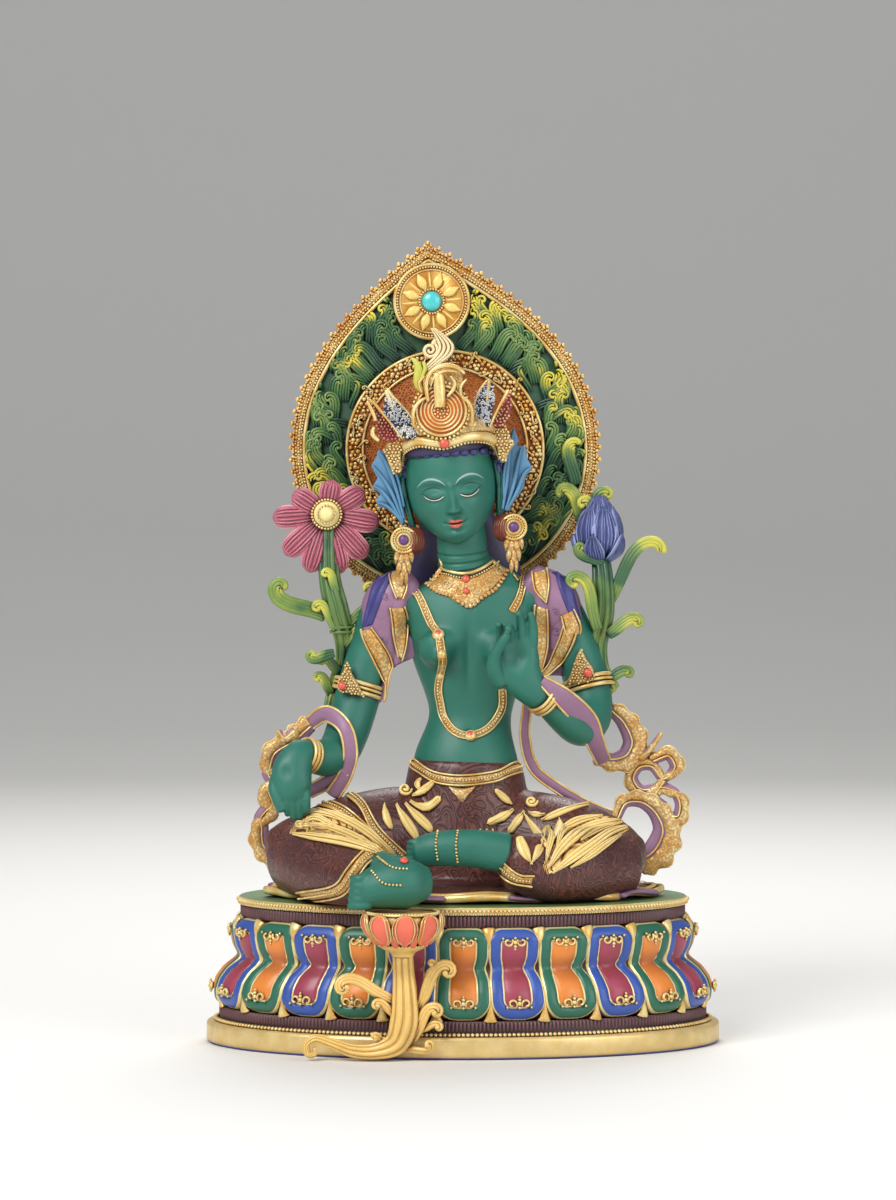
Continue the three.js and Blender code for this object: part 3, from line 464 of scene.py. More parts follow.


# Gold paint over a brown ground: grains stand bright, the ground shows between them, and in the grooves as painted
# shade
def goldGroup(groove):
    tree, given, out = makeGroup("goldPaint", [
        ("Gold", "colour", (0.8, 0.6, 0.25, 1)), ("Pale", "colour", (0.9, 0.8, 0.5, 1)),
        ("Ground", "colour", (0.1, 0.03, 0.01, 1)), ("Reach", "value", 0.0015),
        ("ShadeAndWash", "value", 1.0), ("Stipple", "value", 0.6), ("Size", "value", 1300.0),
    ], [("Colour", "colour"), ("Roughness", "value"), ("Metallic", "value"), ("Height", "value")])
    open_ = tree.nodes.new("ShaderNodeGroup")
    open_.node_tree = groove
    put(tree, open_.inputs["Reach"], given["Reach"])
    put(tree, open_.inputs["Strength"], given["ShadeAndWash"])
    where = node(tree, "TexCoord").outputs["Object"]
    cell = node(tree, "TexVoronoi", {"Scale": given["Size"], "Vector": where}, feature="SMOOTH_F1")
    grain = between(tree, cell.outputs["Distance"], 0.55, 0.15)
    cloudy = noise(tree, 160.0)
    fine = noise(tree, 2200.0, 3.0)
    ground = calc(tree, "MULTIPLY", calc(tree, "SUBTRACT", 1.0, grain), given["Stipple"])
    # painted shade: the brown ground is laid where ambient occlusion finds little light
    shown = calc(tree, "MULTIPLY", open_.outputs["Open"], calc(tree, "SUBTRACT", 1.0, ground), clamp=True)
    gold = blend(tree, between(tree, cloudy, 0.35, 0.65), given["Gold"], given["Pale"])
    gold = blend(tree, calc(tree, "MULTIPLY", fine, 0.2), gold, given["Ground"])
    tree.links.new(blend(tree, shown, given["Ground"], gold), out["Colour"])
    tree.links.new(between(tree, shown, 0.0, 1.0, 0.62, 0.33), out["Roughness"])
    tree.links.new(calc(tree, "MULTIPLY", shown, 0.35), out["Metallic"])
    tree.links.new(calc(tree, "ADD", calc(tree, "MULTIPLY", grain, given["Stipple"]),
                        calc(tree, "MULTIPLY", fine, 0.25)), out["Height"])
    return tree


grooveShadeAndWash = recessGroup()
brushedPaint = paintGroup(grooveShadeAndWash)
goldPaint = goldGroup(grooveShadeAndWash)


def newMaterial(name):
    made = bpy.data.materials.new(name)
    made.use_nodes = True
    tree = made.node_tree
    return made, tree, tree.nodes["Principled BSDF"]


def useGroup(tree, group, values):
    made = tree.nodes.new("ShaderNodeGroup")
    made.node_tree = group
    for key, value in values.items():
        put(tree, made.inputs[key], value)
    return made.outputs


def bumpTo(tree, shader, height, distance, strength=1.0):
    bump = node(tree, "Bump", {"Height": height, "Distance": distance, "Strength": strength})
    tree.links.new(bump.outputs["Normal"], shader.inputs["Normal"])


# The end of every painted material: brushed, with painted shade in the grooves, with a little gloss
def brushed(tree, shader, colour, groove, gloss=0.45, reach=1.6, shadeAndWash=0.9, mottle=0.16, coat=0.2):
    out = useGroup(tree, brushedPaint, {"Paint": colour, "Groove": groove, "Reach": reach * mm, "ShadeAndWash": shadeAndWash,
                                        "Mottle": mottle, "Gloss": gloss})
    tree.links.new(out["Colour"], shader.inputs["Base Color"])
    tree.links.new(out["Roughness"], shader.inputs["Roughness"])
    shader.inputs["Coat Weight"].default_value = coat
    shader.inputs["Coat Roughness"].default_value = 0.35
    return out["Height"]


def paint(name, colour, groove, gloss=0.5, reach=2.2, shadeAndWash=0.8, mottle=0.12, coat=0.15):
    made, tree, shader = newMaterial(name)
    bumpTo(tree, shader, brushed(tree, shader, colour, groove, gloss, reach, shadeAndWash, mottle, coat), 0.00004)
    return made


def gilt(name, gold, pale, ground, reach=1.4, shadeAndWash=1.0, stipple=0.0, size=1300, height=0.0001):
    made, tree, shader = newMaterial(name)
    out = useGroup(tree, goldPaint, {"Gold": gold, "Pale": pale, "Ground": ground, "Reach": reach * mm,
                                     "ShadeAndWash": shadeAndWash, "Stipple": stipple, "Size": float(size)})
    for socket, label in (("Base Color", "Colour"), ("Roughness", "Roughness"), ("Metallic", "Metallic")):
        tree.links.new(out[label], shader.inputs[socket])
    bumpTo(tree, shader, out["Height"], height)
    return made


# Paint that goes from one colour at the foot of a leaf to another at its tip
def alongPaint(name, base, middle, tip, groove, reach, bright=None):
    made, tree, shader = newMaterial(name)
    patch = between(tree, noise(tree, 55.0, 2.0), 0.42, 0.6)
    share = calc(tree, "ADD", calc(tree, "MULTIPLY", attribute(tree, "along"), reach),
                 calc(tree, "MULTIPLY", calc(tree, "SUBTRACT", patch, 0.5), 0.5))
    colour = blend(tree, between(tree, share, 0.0, 0.5), base, middle)
    if bright:
        tip = blend(tree, between(tree, noise(tree, 42.0, 1.0), 0.46, 0.56), tip, bright)
    colour = blend(tree, between(tree, share, 0.45, 1.0), colour, tip)
    bumpTo(tree, shader, brushed(tree, shader, colour, groove, 0.42, 1.5, 1.0, 0.2), 0.00004)
    return made


# Petals with fine streaks, a pale rim and a dark foot
def streakPaint(name, colour, pale, groove):
    made, tree, shader = newMaterial(name)
    across, along = attribute(tree, "across"), attribute(tree, "along")
    wobble = calc(tree, "MULTIPLY", noise(tree, 260.0), 5.0)
    streak = calc(tree, "SINE", calc(tree, "ADD", calc(tree, "MULTIPLY", across, 26.0), wobble))
    shade = blend(tree, calc(tree, "MULTIPLY", between(tree, streak, 0.0, 1.0), 0.5), colour, pale)
    shade = blend(tree, calc(tree, "MULTIPLY", between(tree, streak, -0.3, -1.0), 0.3), shade, groove)
    shade = blend(tree, between(tree, calc(tree, "ABSOLUTE", across), 0.8, 0.98), shade, pale)
    shade = blend(tree, between(tree, along, 0.3, 0.0), shade, groove)
    brushed(tree, shader, shade, groove)
    bumpTo(tree, shader, streak, 0.00012)
    return made


# Gold leaf with fine lines that flow through it
def flowPaint(name, pale, gold, groove, scale):
    made, tree, shader = newMaterial(name)
    where = node(tree, "TexCoord").outputs["Object"]
    flow = node(tree, "TexNoise", {"Scale": float(scale), "Detail": 1.0, "Distortion": 1.0, "Vector": where})
    ripple = calc(tree, "SINE", calc(tree, "MULTIPLY", flow.outputs["Fac"], 70.0))
    line = between(tree, ripple, -0.45, -0.95)
    colour = blend(tree, between(tree, ripple, -0.3, 0.8), gold, pale)
    colour = blend(tree, line, colour, groove)
    brushed(tree, shader, colour, groove, 0.4, 1.4, coat=0.3)
    shader.inputs["Metallic"].default_value = 0.2
    bumpTo(tree, shader, calc(tree, "SUBTRACT", 1.0, line), 0.0003)
    return made


giltTones = {"gold": tone(224, 180, 98), "pale": tone(242, 222, 156), "ground": tone(112, 56, 24)}
skinPaint = paint("skinPaint", tone(32, 104, 88), tone(6, 40, 36), 0.52, 3.4, 0.9, 0.12, coat=0.06)
robePaint = paint("robePaint", tone(98, 54, 62), tone(28, 10, 16), 0.5, 2.0, 0.9, 0.2)
lilacPaint = paint("lilacPaint", tone(142, 104, 132), tone(64, 34, 56), 0.5, 2.0, 0.9, 0.16)
indigoPaint = paint("indigoPaint", tone(58, 54, 116), tone(16, 12, 40), 0.48, 2.0, 0.9, 0.2)
skyPaint = paint("skyPaint", tone(84, 134, 168), tone(26, 58, 96), 0.55, 1.8, 1.0, 0.3)
coralPaint = paint("coralPaint", tone(214, 84, 62), tone(110, 30, 24), 0.35, 1.2, 0.6, 0.15, coat=0.5)
giltFine = gilt("giltFine", giltTones["gold"], giltTones["pale"], giltTones["ground"])
giltStippled = gilt("giltStippled", giltTones["gold"], giltTones["pale"], tone(138, 78, 34), 1.2, 1.0, 0.6, 1150)
giltBeads = gilt("giltBeads", tone(236, 204, 128), giltTones["pale"], tone(120, 66, 26), 1.1, 1.0)
amberBeads = gilt("amberBeads", tone(212, 152, 70), tone(240, 200, 122), tone(112, 52, 20), 1.3, 1.0)


# ---------------------------------------------------------------- camera, floor and light
bpy.ops.object.camera_add(location=[c * mm for c in view["spot"]])
camera = bpy.context.active_object
camera.name = "camera"
camera.data.sensor_fit = "VERTICAL"
camera.data.sensor_height = 36
camera.data.lens = view["lens"]
camera.rotation_euler = (Vector(view["aim"]) - Vector(view["spot"])).to_track_quat("-Z", "Y").to_euler()
bpy.context.scene.camera = camera

studio = {"floor": tone(226, 224, 220), "world": 0.36, "key": 24.0, "fill": 8.0, "rim": 12.0}


def makeStudio():
    bpy.ops.mesh.primitive_plane_add(size=1)
    floor = bpy.context.active_object
    bpy.ops.transform.resize(value=(9, 3.2, 1))
    bpy.ops.transform.translate(value=(0, -0.1, 0))
    bpy.ops.object.transform_apply(location=True, scale=True)
    bpy.ops.object.mode_set(mode="EDIT")
    bpy.ops.mesh.select_mode(type="EDGE")
    bpy.ops.mesh.select_all(action="DESELECT")
    bpy.ops.object.mode_set(mode="OBJECT")
    for edge in floor.data.edges:
        edge.select = all(floor.data.vertices[i].co.y > 0 for i in edge.vertices)
    bpy.ops.object.mode_set(mode="EDIT")
    for i in range(8):  # the sweep up behind
        angle = math.radians(90 * (i + 0.5) / 8)
        step = (0, 0.24 * math.cos(angle), 0.24 * math.sin(angle))
        bpy.ops.mesh.extrude_region_move(TRANSFORM_OT_translate={"value": step})
    bpy.ops.mesh.extrude_region_move(TRANSFORM_OT_translate={"value": (0, 0, 4)})
    bpy.ops.object.mode_set(mode="OBJECT")
    bpy.ops.object.shade_smooth()
    floor.name = "floor"
    made, tree, shader = newMaterial("floorPaper")
    shader.inputs["Base Color"].default_value = studio["floor"]
    shader.inputs["Roughness"].default_value = 0.8
    floor.data.materials.append(made)
    for spot, size, power in (((-0.75, -1.1, 1.15), 0.8, studio["key"]), ((0.95, -1.0, 0.55), 0.9, studio["fill"]),
                              ((0.1, 0.75, 1.15), 0.8, studio["rim"])):
        bpy.ops.object.light_add(type="AREA", location=spot)
        lamp = bpy.context.active_object
        lamp.data.size = size
        lamp.data.energy = power
        lamp.rotation_euler = (Vector((0, 0, 0.15)) - Vector(spot)).to_track_quat("-Z", "Y").to_euler()
    world = bpy.data.worlds.new("studio")
    bpy.context.scene.world = world
    world.use_nodes = True
    world.node_tree.nodes["Background"].inputs["Color"].default_value = tone(232, 236, 240)
    world.node_tree.nodes["Background"].inputs["Strength"].default_value = studio["world"]
    bpy.context.scene.view_settings.view_transform = "Standard"


makeStudio()
print("studio set")


# ---------------------------------------------------------------- plinth
plinth = {
    "half": 95.0, "depth": 120 / 190, "petals": 24, "columns": 28,
    "tip": 13.9, "waist": 32.0, "top": 46.6, "petalHalf": 9.6, "footRounding": 7.4, "topRounding": 5.2, "border": 4.4,
    "levels": [(12.6, 86.0), (13.7, 89.6), (16, 91.2), (19.5, 91.9), (24, 90.6), (28, 87.6), (31, 83.6),
               (32, 82.4), (33, 82.9), (36, 84.4), (40, 85.3), (43, 85.2), (45.4, 83.6), (46.8, 82), (47.6, 80)],
}


def ellipseSteps():
    turns = np.linspace(0, 2 * np.pi, 7201)
    half, deep = plinth["half"], plinth["half"] * plinth["depth"]
    lengths = np.hypot(half * np.cos(turns), deep * np.sin(turns))
    whole = np.concatenate([[0], np.cumsum((lengths[1:] + lengths[:-1]) / 2)])
    return turns, whole / whole[-1]


ringTurns, ringShares = ellipseSteps()


def roundPlinth(share, half, level, lift=0):  # share: 0..1 round from the front, half: half width there
    turn = np.interp(np.mod(share, 1), ringShares, ringTurns)
    half, level, lift = np.broadcast_arrays(half, level, lift)
    deep = half * plinth["depth"]
    out = unit(np.stack([np.sin(turn) / plinth["half"], -np.cos(turn) / (plinth["half"] * plinth["depth"]),
                         np.zeros_like(turn)], -1))
    spot = np.stack([half * np.sin(turn), -deep * np.cos(turn), level + 0 * turn], -1)
    return spot + out * np.asarray(lift)[..., None], out


def petalDistance(across, level):  # how far inside a petal's outline, in mm
    low = plinth["tip"] + plinth["footRounding"]
    high = plinth["top"] - plinth["topRounding"]
    rounding = np.where(level < plinth["waist"], plinth["footRounding"], plinth["topRounding"])
    past = np.where(level < low, low - level, np.where(level > high, level - high, 0))
    wide = plinth["petalHalf"] - 0.9 * np.exp(-((level - plinth["waist"]) / 2.6) ** 2)
    sideways = np.maximum(np.abs(across) - (wide - rounding), 0)
    corner = rounding - np.hypot(sideways, past)
    return np.where(past > 0, corner, wide - np.abs(across))


def petalRelief(across, level):
    inside = petalDistance(across, level)
    edge = plinth["border"]
    band = 0.75 * np.sqrt(np.clip(1 - ((inside - edge / 2) / (edge / 2)) ** 2, 0, 1))
    panel = 1.15 * (1 - np.exp(-np.clip(inside - edge - 0.2, 0, None) / 2.0))
    groove = -0.5 * np.exp(-((inside - edge - 0.1) / 0.35) ** 2)
    between_ = -2.6 * (1 - np.exp(-np.clip(-inside, 0, None) / 0.7))
    return np.where(inside < 0, between_, np.where(inside < edge, band, panel)) + groove


def gridMesh(name, columns, levels, closed=True):
    faces = []
    for row in range(levels - 1):
        for column in range(columns if closed else columns - 1):
            nextColumn = (column + 1) % columns
            faces.append((row * columns + column, row * columns + nextColumn,
                          (row + 1) * columns + nextColumn, (row + 1) * columns + column))
    return faces


def makePlinth():
    count = plinth["petals"] * plinth["columns"]
    levels = np.concatenate([np.linspace(12.6, 32, 30), np.linspace(32, 47.6, 25)[1:]])
    halves = np.interp(levels, [l for l, _ in plinth["levels"]], [h for _, h in plinth["levels"]])
    halves = settle(halves, 2)
    shares = (np.arange(count) / count)[None, :]
    pitch = 499.0 / plinth["petals"]
    across = (np.mod(shares * plinth["petals"] + 0.5, 1) - 0.5) * pitch * (halves[:, None] / plinth["half"])
    nominal = across * (90 / halves[:, None]) * 0.995
    level = levels[:, None] + 0 * shares
    lift = petalRelief(nominal, level)
    lift = np.where((level < 13.4) | (level > 47), np.minimum(lift, 0), lift)
    spots, _ = roundPlinth(shares + 0 * level, halves[:, None] + 0 * level, level, lift)
    petals = meshOf("plinth_petals", spots.reshape(-1, 3), gridMesh("petals", count, len(levels)))
    data = petals.data
    for label, values in (("inside", petalDistance(nominal, level)),
                          ("kind", np.mod(np.floor(shares * plinth["petals"] + 0.5), 2) + 0 * level),
                          ("level", level)):
        data.attributes.new(label, "FLOAT", "POINT").data.foreach_set("value", values.ravel())
    together("plinth_petals", [petals], petalPaint())

    # foot, bands and top, pulled up ring by ring
    rings = [(0, 93.8), (0.35, 94.6), (1.2, 95), (6.6, 95), (7.5, 94.7), (8, 93.9), (8.1, 90.2), (12.9, 89.0),
             (13, 78), (47.0, 76), (47.1, 81.5), (51.2, 81.5), (51.3, 82.9), (52, 83.3), (53.3, 83.2),
             (53.9, 82.5), (54, 81.6), (54, 80.4)]
    bpy.ops.mesh.primitive_circle_add(vertices=360, radius=1, fill_type="NGON")
    body = bpy.context.active_object
    bpy.ops.transform.resize(value=(rings[0][1] * mm, rings[0][1] * plinth["depth"] * mm, 1))
    bpy.ops.object.transform_apply(scale=True)
    bpy.ops.object.mode_set(mode="EDIT")
    bpy.ops.mesh.select_all(action="SELECT")
    for (level0, half0), (level1, half1) in zip(rings, rings[1:]):
        bpy.ops.mesh.extrude_region_move(TRANSFORM_OT_translate={"value": (0, 0, (level1 - level0) * mm)})
        bpy.ops.transform.resize(value=(half1 / half0, half1 / half0, 1), center_override=(0, 0, 0))
    bpy.ops.mesh.select_all(action="SELECT")
    bpy.ops.mesh.normals_make_consistent(inside=False)
    bpy.ops.object.mode_set(mode="OBJECT")
    body = together("plinth_body", [body], bodyPaint())
    bpy.ops.object.shade_smooth_by_angle(angle=math.radians(40))
    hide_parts("plinth")

    # hatched bands with their ticks standing out
    bands = []
    for low, high, half, ticks in ((9.4, 13.5, 89.9, 330), (46.6, 51.2, 82.0, 300)):
        columns = ticks * 4  # four corners to a tick
        rows = np.array([low, low + 0.6, high - 0.6, high])
        share = (np.arange(columns) / columns)[None, :]
        tick = np.array([0.0, 0.9, 0.9, 0.0])[np.arange(columns) % 4][None, :]
        strength = np.array([0, 1, 1, 0])[:, None]
        hatch, _ = roundPlinth(share + 0 * strength, half, rows[:, None] + 0 * share, tick * strength - 0.5)
        bands.append(meshOf("band", hatch.reshape(-1, 3), gridMesh("band", columns, len(rows))))
    together("plinth_hatching", bands, paint("hatchPaint", tone(100, 62, 66), tone(30, 14, 18), 0.5, 1.2, 1.0, 0.3))

    # beads, leaves between the petals and the gilt clusters on the panels
    proto = bead()
    rows = []
    for level, half, radius, pitch in ((8.7, 91.6, 0.85, 1.65), (52.7, 83.2, 0.72, 1.5), (51.5, 83.0, 0.4, 0.9)):
        number = int(2 * np.pi * half * 0.825 / pitch)
        spots, outs = roundPlinth(np.arange(number) / number, half, level)
        rows.append(copies(proto, spots, outs, radius))
    together("plinth_beads", rows, giltBeads)

    leaves, clusters, scrolls = [], [], []
    for petal in range(plinth["petals"]):
        share = (petal + 0.5) / plinth["petals"]
        low = [(25.5, 88.2, 0.35), (21, 90.0, 0.9), (17, 90.6, 1.2), (14.6, 90.6, 1.9), (13.6, 90.2, 2.5)]
        rows = through(low, 14)
        spots, outs = roundPlinth(np.full(14, share), rows[:, 1], rows[:, 0], -0.2)
        leaves.append(sweep(spots, outs, rows[:, 2], 0.9, 10, 0.5))
        high = [(39.5, 84.2, 0.4), (42.0, 85.4, 1.1), (44.6, 85.2, 1.9), (46.4, 84.0, 2.3)]
        rows = through(high, 12)
        spots, outs = roundPlinth(np.full(12, share), rows[:, 1], rows[:, 0], -0.3)
        leaves.append(sweep(spots, outs, rows[:, 2], 0.8, 10, 0.5))
        middle = petal / plinth["petals"]
        for level, half, sign in ((42.3, 85.5, -1), (19.4, 92.4, 1)):
            for side, along, radius in ((0, 0.7, 1.0), (0, 2.1, 0.75), (0, 3.1, 0.5), (0, -0.8, 0.6), (-4.4, -0.7, 0.5), (4.4, -0.7, 0.5)):
                spot, out = roundPlinth(middle + side / 499.0 * (95 / half), half + 1.1, level + sign * along)
                clusters.append((spot, out, radius))
            for hand in (-1, 1):  # a curl on each side of the crest
                turn = np.linspace(-0.4, 4.6, 12)
                radius = np.linspace(1.8, 0.7, 12)
                side, along = hand * (2.5 - radius * np.cos(turn)), 0.5 + radius * np.sin(turn)
                spots, outs = roundPlinth(middle + side / 499.0 * (95 / half), half + 0.8, level + sign * along)
                scrolls.append(sweep(spots, outs, 0.42, 0.7, 6, 0.8, 2))
    together("plinth_leaves", leaves, giltFine)
    spots, outs, sizes = (np.array(column) for column in zip(*clusters))
    together("plinth_clusters", [copies(proto, spots, outs, sizes), *scrolls], giltBeads)
    remove(proto)


def petalPaint():
    made, tree, shader = newMaterial("petalPaint")
    inside, kind = attribute(tree, "inside"), attribute(tree, "kind")
    edge = plinth["border"]
    border = blend(tree, kind, tone(30, 98, 76), tone(44, 78, 158))
    panel = blend(tree, kind, tone(222, 130, 48), tone(152, 56, 78))
    level = attribute(tree, "level")
    fade = between(tree, calc(tree, "ABSOLUTE", calc(tree, "SUBTRACT", level, 32.0)), 0.0, 7.0)
    panel = blend(tree, calc(tree, "SUBTRACT", 1.0, fade), panel, blend(tree, 0.5, panel, tone(120, 40, 30)))
    colour = blend(tree, between(tree, inside, edge - 0.05, edge + 0.05), border, panel)
    outer = between(tree, calc(tree, "ABSOLUTE", calc(tree, "SUBTRACT", inside, 0.1)), 0.42, 0.3)
    inner = between(tree, calc(tree, "ABSOLUTE", calc(tree, "SUBTRACT", inside, edge + 0.2)), 0.3, 0.2)
    line = calc(tree, "MAXIMUM", outer, inner)
    colour = blend(tree, line, colour, giltTones["pale"])
    colour = blend(tree, between(tree, inside, -0.2, -0.9), colour, tone(120, 70, 30))
    height = brushed(tree, shader, colour, tone(40, 18, 14), 0.42, 1.6, 0.75, 0.14)
    tree.links.new(calc(tree, "MULTIPLY", line, 0.4), shader.inputs["Metallic"])
    bumpTo(tree, shader, height, 0.00005)
    return made


def bodyPaint():
    made, tree, shader = newMaterial("plinthBodyPaint")
    where = node(tree, "SeparateXYZ", {0: node(tree, "TexCoord").outputs["Object"]}).outputs["Z"]
    height = calc(tree, "MULTIPLY", where, 1000.0)
    facing = node(tree, "SeparateXYZ", {0: node(tree, "NewGeometry").outputs["Normal"]}).outputs["Z"]
    flat = calc(tree, "MULTIPLY", between(tree, facing, 0.8, 0.95), between(tree, height, 53.7, 53.8))
    # both paint groups here lay painted shade in the grooves, from ambient occlusion
    gold = useGroup(tree, goldPaint, {"Gold": tone(222, 192, 124), "Pale": tone(230, 204, 142),
                                      "Ground": tone(140, 90, 44), "Reach": 2 * mm, "Stipple": 0.0})
    colour = blend(tree, flat, gold["Colour"], tone(96, 128, 78))
    line = between(tree, height, 0.9, 0.6)
    colour = blend(tree, line, colour, tone(60, 78, 170))
    dark = calc(tree, "MULTIPLY", between(tree, height, 8.3, 8.5), between(tree, height, 51.1, 50.9))
    colour = blend(tree, dark, colour, tone(48, 26, 32))
    out = useGroup(tree, brushedPaint, {"Paint": colour, "Groove": tone(50, 30, 18), "Reach": 3 * mm,
                                        "ShadeAndWash": 0.6, "Mottle": 0.14, "Gloss": 0.42})
    tree.links.new(out["Colour"], shader.inputs["Base Color"])
    tree.links.new(gold["Roughness"], shader.inputs["Roughness"])
    painted = calc(tree, "MAXIMUM", calc(tree, "MAXIMUM", flat, line), dark)
    tree.links.new(calc(tree, "MULTIPLY", gold["Metallic"], calc(tree, "SUBTRACT", 1.0, painted)),
                   shader.inputs["Metallic"])
    bumpTo(tree, shader, out["Height"], 0.00004)
    return made


makePlinth()
print("plinth made")


# ---------------------------------------------------------------- skin: trunk, arms, hands and feet
torsoRows = [
    [1, 6, 30, 22, 17], [1.1, 6, 42, 20.6, 16.2], [1.4, 6, 51, 19.2, 15], [2.6, 7, 64, 15.4, 12],
    [3, 7, 74, 17.2, 12.6], [2.6, 6.8, 88, 21.6, 14], [2.5, 7, 100, 24, 14.4], [2.4, 7.5, 109, 24.6, 12.6],
    [2.2, 8, 115, 20.6, 10.6], [1.6, 8, 119.5, 13, 9.3], [0.6, 7, 124, 9.4, 8.8], [-0.6, 4, 137, 8.7, 8.8],
]
rightArmRows = [
    [-20, 8, 109, 9, 9.5], [-28.5, 8, 104.5, 9.2, 9.6], [-34, 8, 90, 8.6, 8.8], [-38.5, 6.5, 75, 8.7, 8.6],
    [-42.5, 2.5, 61, 8.3, 8.2], [-46.5, -4, 52.5, 7.8, 7.8], [-52.5, -10, 51, 6.8, 6.8],
    [-58.5, -15.5, 53, 5.2, 5.2],
]
leftArmRows = [
    [24, 8, 110, 9, 9.5], [34.5, 8, 105.5, 9, 9.6], [41.5, 7.5, 92, 8.6, 8.8], [46, 5.5, 78, 8.6, 8.6],
    [47.4, 1, 67, 8.2, 8.6], [43.6, -7, 62.6, 7.8, 8], [36.5, -14, 67.5, 6.8, 7], [29.5, -19, 73.5, 5.3, 5.3],
]


def push(piece, centre, radii, amount, direction=None, at=onPlate):  # a soft dent or swelling
    points = corners(piece) / mm
    offset = (points - at([centre])[0]) / np.array(radii)
    weight = np.exp(-(offset ** 2).sum(1))[:, None]
    if direction is None:
        normals = np.empty(len(points) * 3)
        piece.data.vertices.foreach_get("normal", normals)
        direction = normals.reshape(-1, 3)
    reshape(piece, points + np.asarray(direction) * weight * amount)


def makeSkin():
    breasts = [limb([[x, -2, 92.4, 8.6, 6], [x * 1.02, -6.4, 90.4, 8, 7.6], [x * 1.02, -9.4, 89.4, 4.6, 4.6]],
                    facing=upward, dome=0.9) for x in (-8.4, 12)]
    parts = [limb(torsoRows, sides=40, rings=90), *breasts, limb(rightArmRows, rings=80),
             limb(leftArmRows, rings=80)]
    trunk = fuse("trunk", parts, 0.85, 30)
    push(trunk, (2, -8, 60.4), (1.1, 3, 1.3), -1.6, -front * -1)
    push(trunk, (2, -8, 88), (1.6, 5, 12), 1.1, -front)
    for x in (-12, 16):  # collar bones
        push(trunk, (x, -3, 114), (8, 6, 1.6), 0.8, front)
    return trunk


def makeHands():
    raised = [
        limb([[29.5, -18.5, 73.5, 5.3, 5.2], [25, -21.4, 77, 6.4, 4.8], [20.4, -23, 83.4, 8.2, 4.4],
              [19.6, -23.4, 90, 8, 3.8], [19.6, -23.2, 94, 6.6, 3]]),
        limb([[13.6, -24, 79.5, 3.4, 3.2], [11.4, -26, 84.6, 3.2, 3.4], [11.8, -29, 90, 2.2, 2.2],
              [14.4, -31, 94.6, 1.8, 1.8], [16, -31.6, 97, 1.5, 1.5]], sides=16),
    ]
    for stations in (
        [[24.6, -23, 90, 2.5], [25.4, -24, 97, 2.1], [25, -25.4, 102, 1.7], [24.4, -26.4, 104.6, 1.3]],
        [[21, -23, 92, 2.4], [21.4, -24.6, 98.4, 2.0], [20.8, -27, 103, 1.6], [20, -29, 105, 1.3]],
        [[17.4, -23, 92, 2.3], [17.2, -26.6, 98, 1.9], [16.6, -30, 99.8, 1.6], [16.2, -31.6, 98.6, 1.3]],
        [[14.2, -23, 91, 2.2], [13.8, -25.6, 96.4, 1.8], [13.2, -28, 99.8, 1.5], [12.8, -29.6, 101, 1.2]],
    ):
        raised.append(limb(stations, sides=16))
    raisedHand = fuse("raisedHand", raised, 0.42, 5)
    push(raisedHand, (19.4, -27.4, 89), (3.6, 4, 4.2), 2.6, -front)
    hanging = [
        limb([[-56.6, -14, 52.4, 5.5, 5.2], [-60, -17.6, 51.6, 6.4, 5.2], [-62.6, -20.4, 46.4, 7.4, 4.8],
              [-62.2, -21.4, 40.6, 7, 4.2], [-61, -21.4, 37.4, 5.6, 3.4]]),
        limb([[-66.6, -18.6, 47.4, 2.8], [-69, -21, 41.4, 2.3], [-68, -22.6, 36.4, 1.9], [-66.4, -23, 32.6, 1.6]],
             sides=16),
    ]
    for i, x in enumerate((-57.2, -59.7, -62.1, -64.4)):
        tip = (31.6, 29.6, 29.4, 30.8)[i]
        hanging.append(limb([[x, -21, 40.6, 1.75], [x, -22.8, 37, 1.6], [x + 0.1, -22.2, 33.4, 1.45],
                             [x + 0.2, -21, tip, 1.15]], sides=16))
    hangingHand = fuse("hangingHand", hanging, 0.42, 4)
    push(hangingHand, (-64.4, -24.4, 46.4), (2.2, 3, 2.6), -0.8)
    return raisedHand, hangingHand


def makeFeet():
    standing = [
        limb([[-13.8, -62, 9.4, 5, 6.2], [-20.5, -64.6, 9.6, 8.2, 9.2], [-28, -65.4, 8.8, 8.2, 8.6],
              [-34.4, -65.6, 7.2, 7, 6.8], [-37.4, -65.6, 6.6, 5, 5.8]], facing=upward),
        limb([[-24, -61.6, 13, 6.6], [-31, -54, 13, 7.4]], facing=upward),
    ]
    for i in range(5):
        level = 2.3 + 2.45 * i
        standing.append(limb([[-33.5, -69.4, level - 0.2, 1.6], [-37.4, -69.6, level - 0.4, 1.55],
                              [-40.6 + 0.25 * i, -68, level - 0.5, 1.3]], facing=upward, sides=14))
    lying = [
        limb([[15, -40, 18.6, 6.6, 7.4], [3, -41, 20.2, 5.8, 6.9], [-9, -40.8, 20, 5.6, 6.4],
              [-16, -39.6, 18.6, 4.8, 5.5]], facing=upward),
    ]
    for i in range(5):
        level = 14.6 + 1.9 * i
        lying.append(limb([[-14, -41.6, level + 0.6, 1.3], [-18, -41.4, level + 0.2, 1.25],
                           [-20.8 + 0.3 * i, -40.4, level, 1.05]], facing=upward, sides=14))
    return fuse("standingFoot", standing, 0.42, 4), fuse("lyingFoot", lying, 0.42, 4)


trunk = makeSkin()
raisedHand, hangingHand = makeHands()
standingFoot, lyingFoot = makeFeet()
for part, label in ((trunk, "skin_trunk"), (raisedHand, "skin_raised_hand"), (hangingHand, "skin_hanging_hand"),
                    (standingFoot, "skin_standing_foot"), (lyingFoot, "skin_lying_foot")):
    together(label, [part], skinPaint)
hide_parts("figure")
print("skin made")


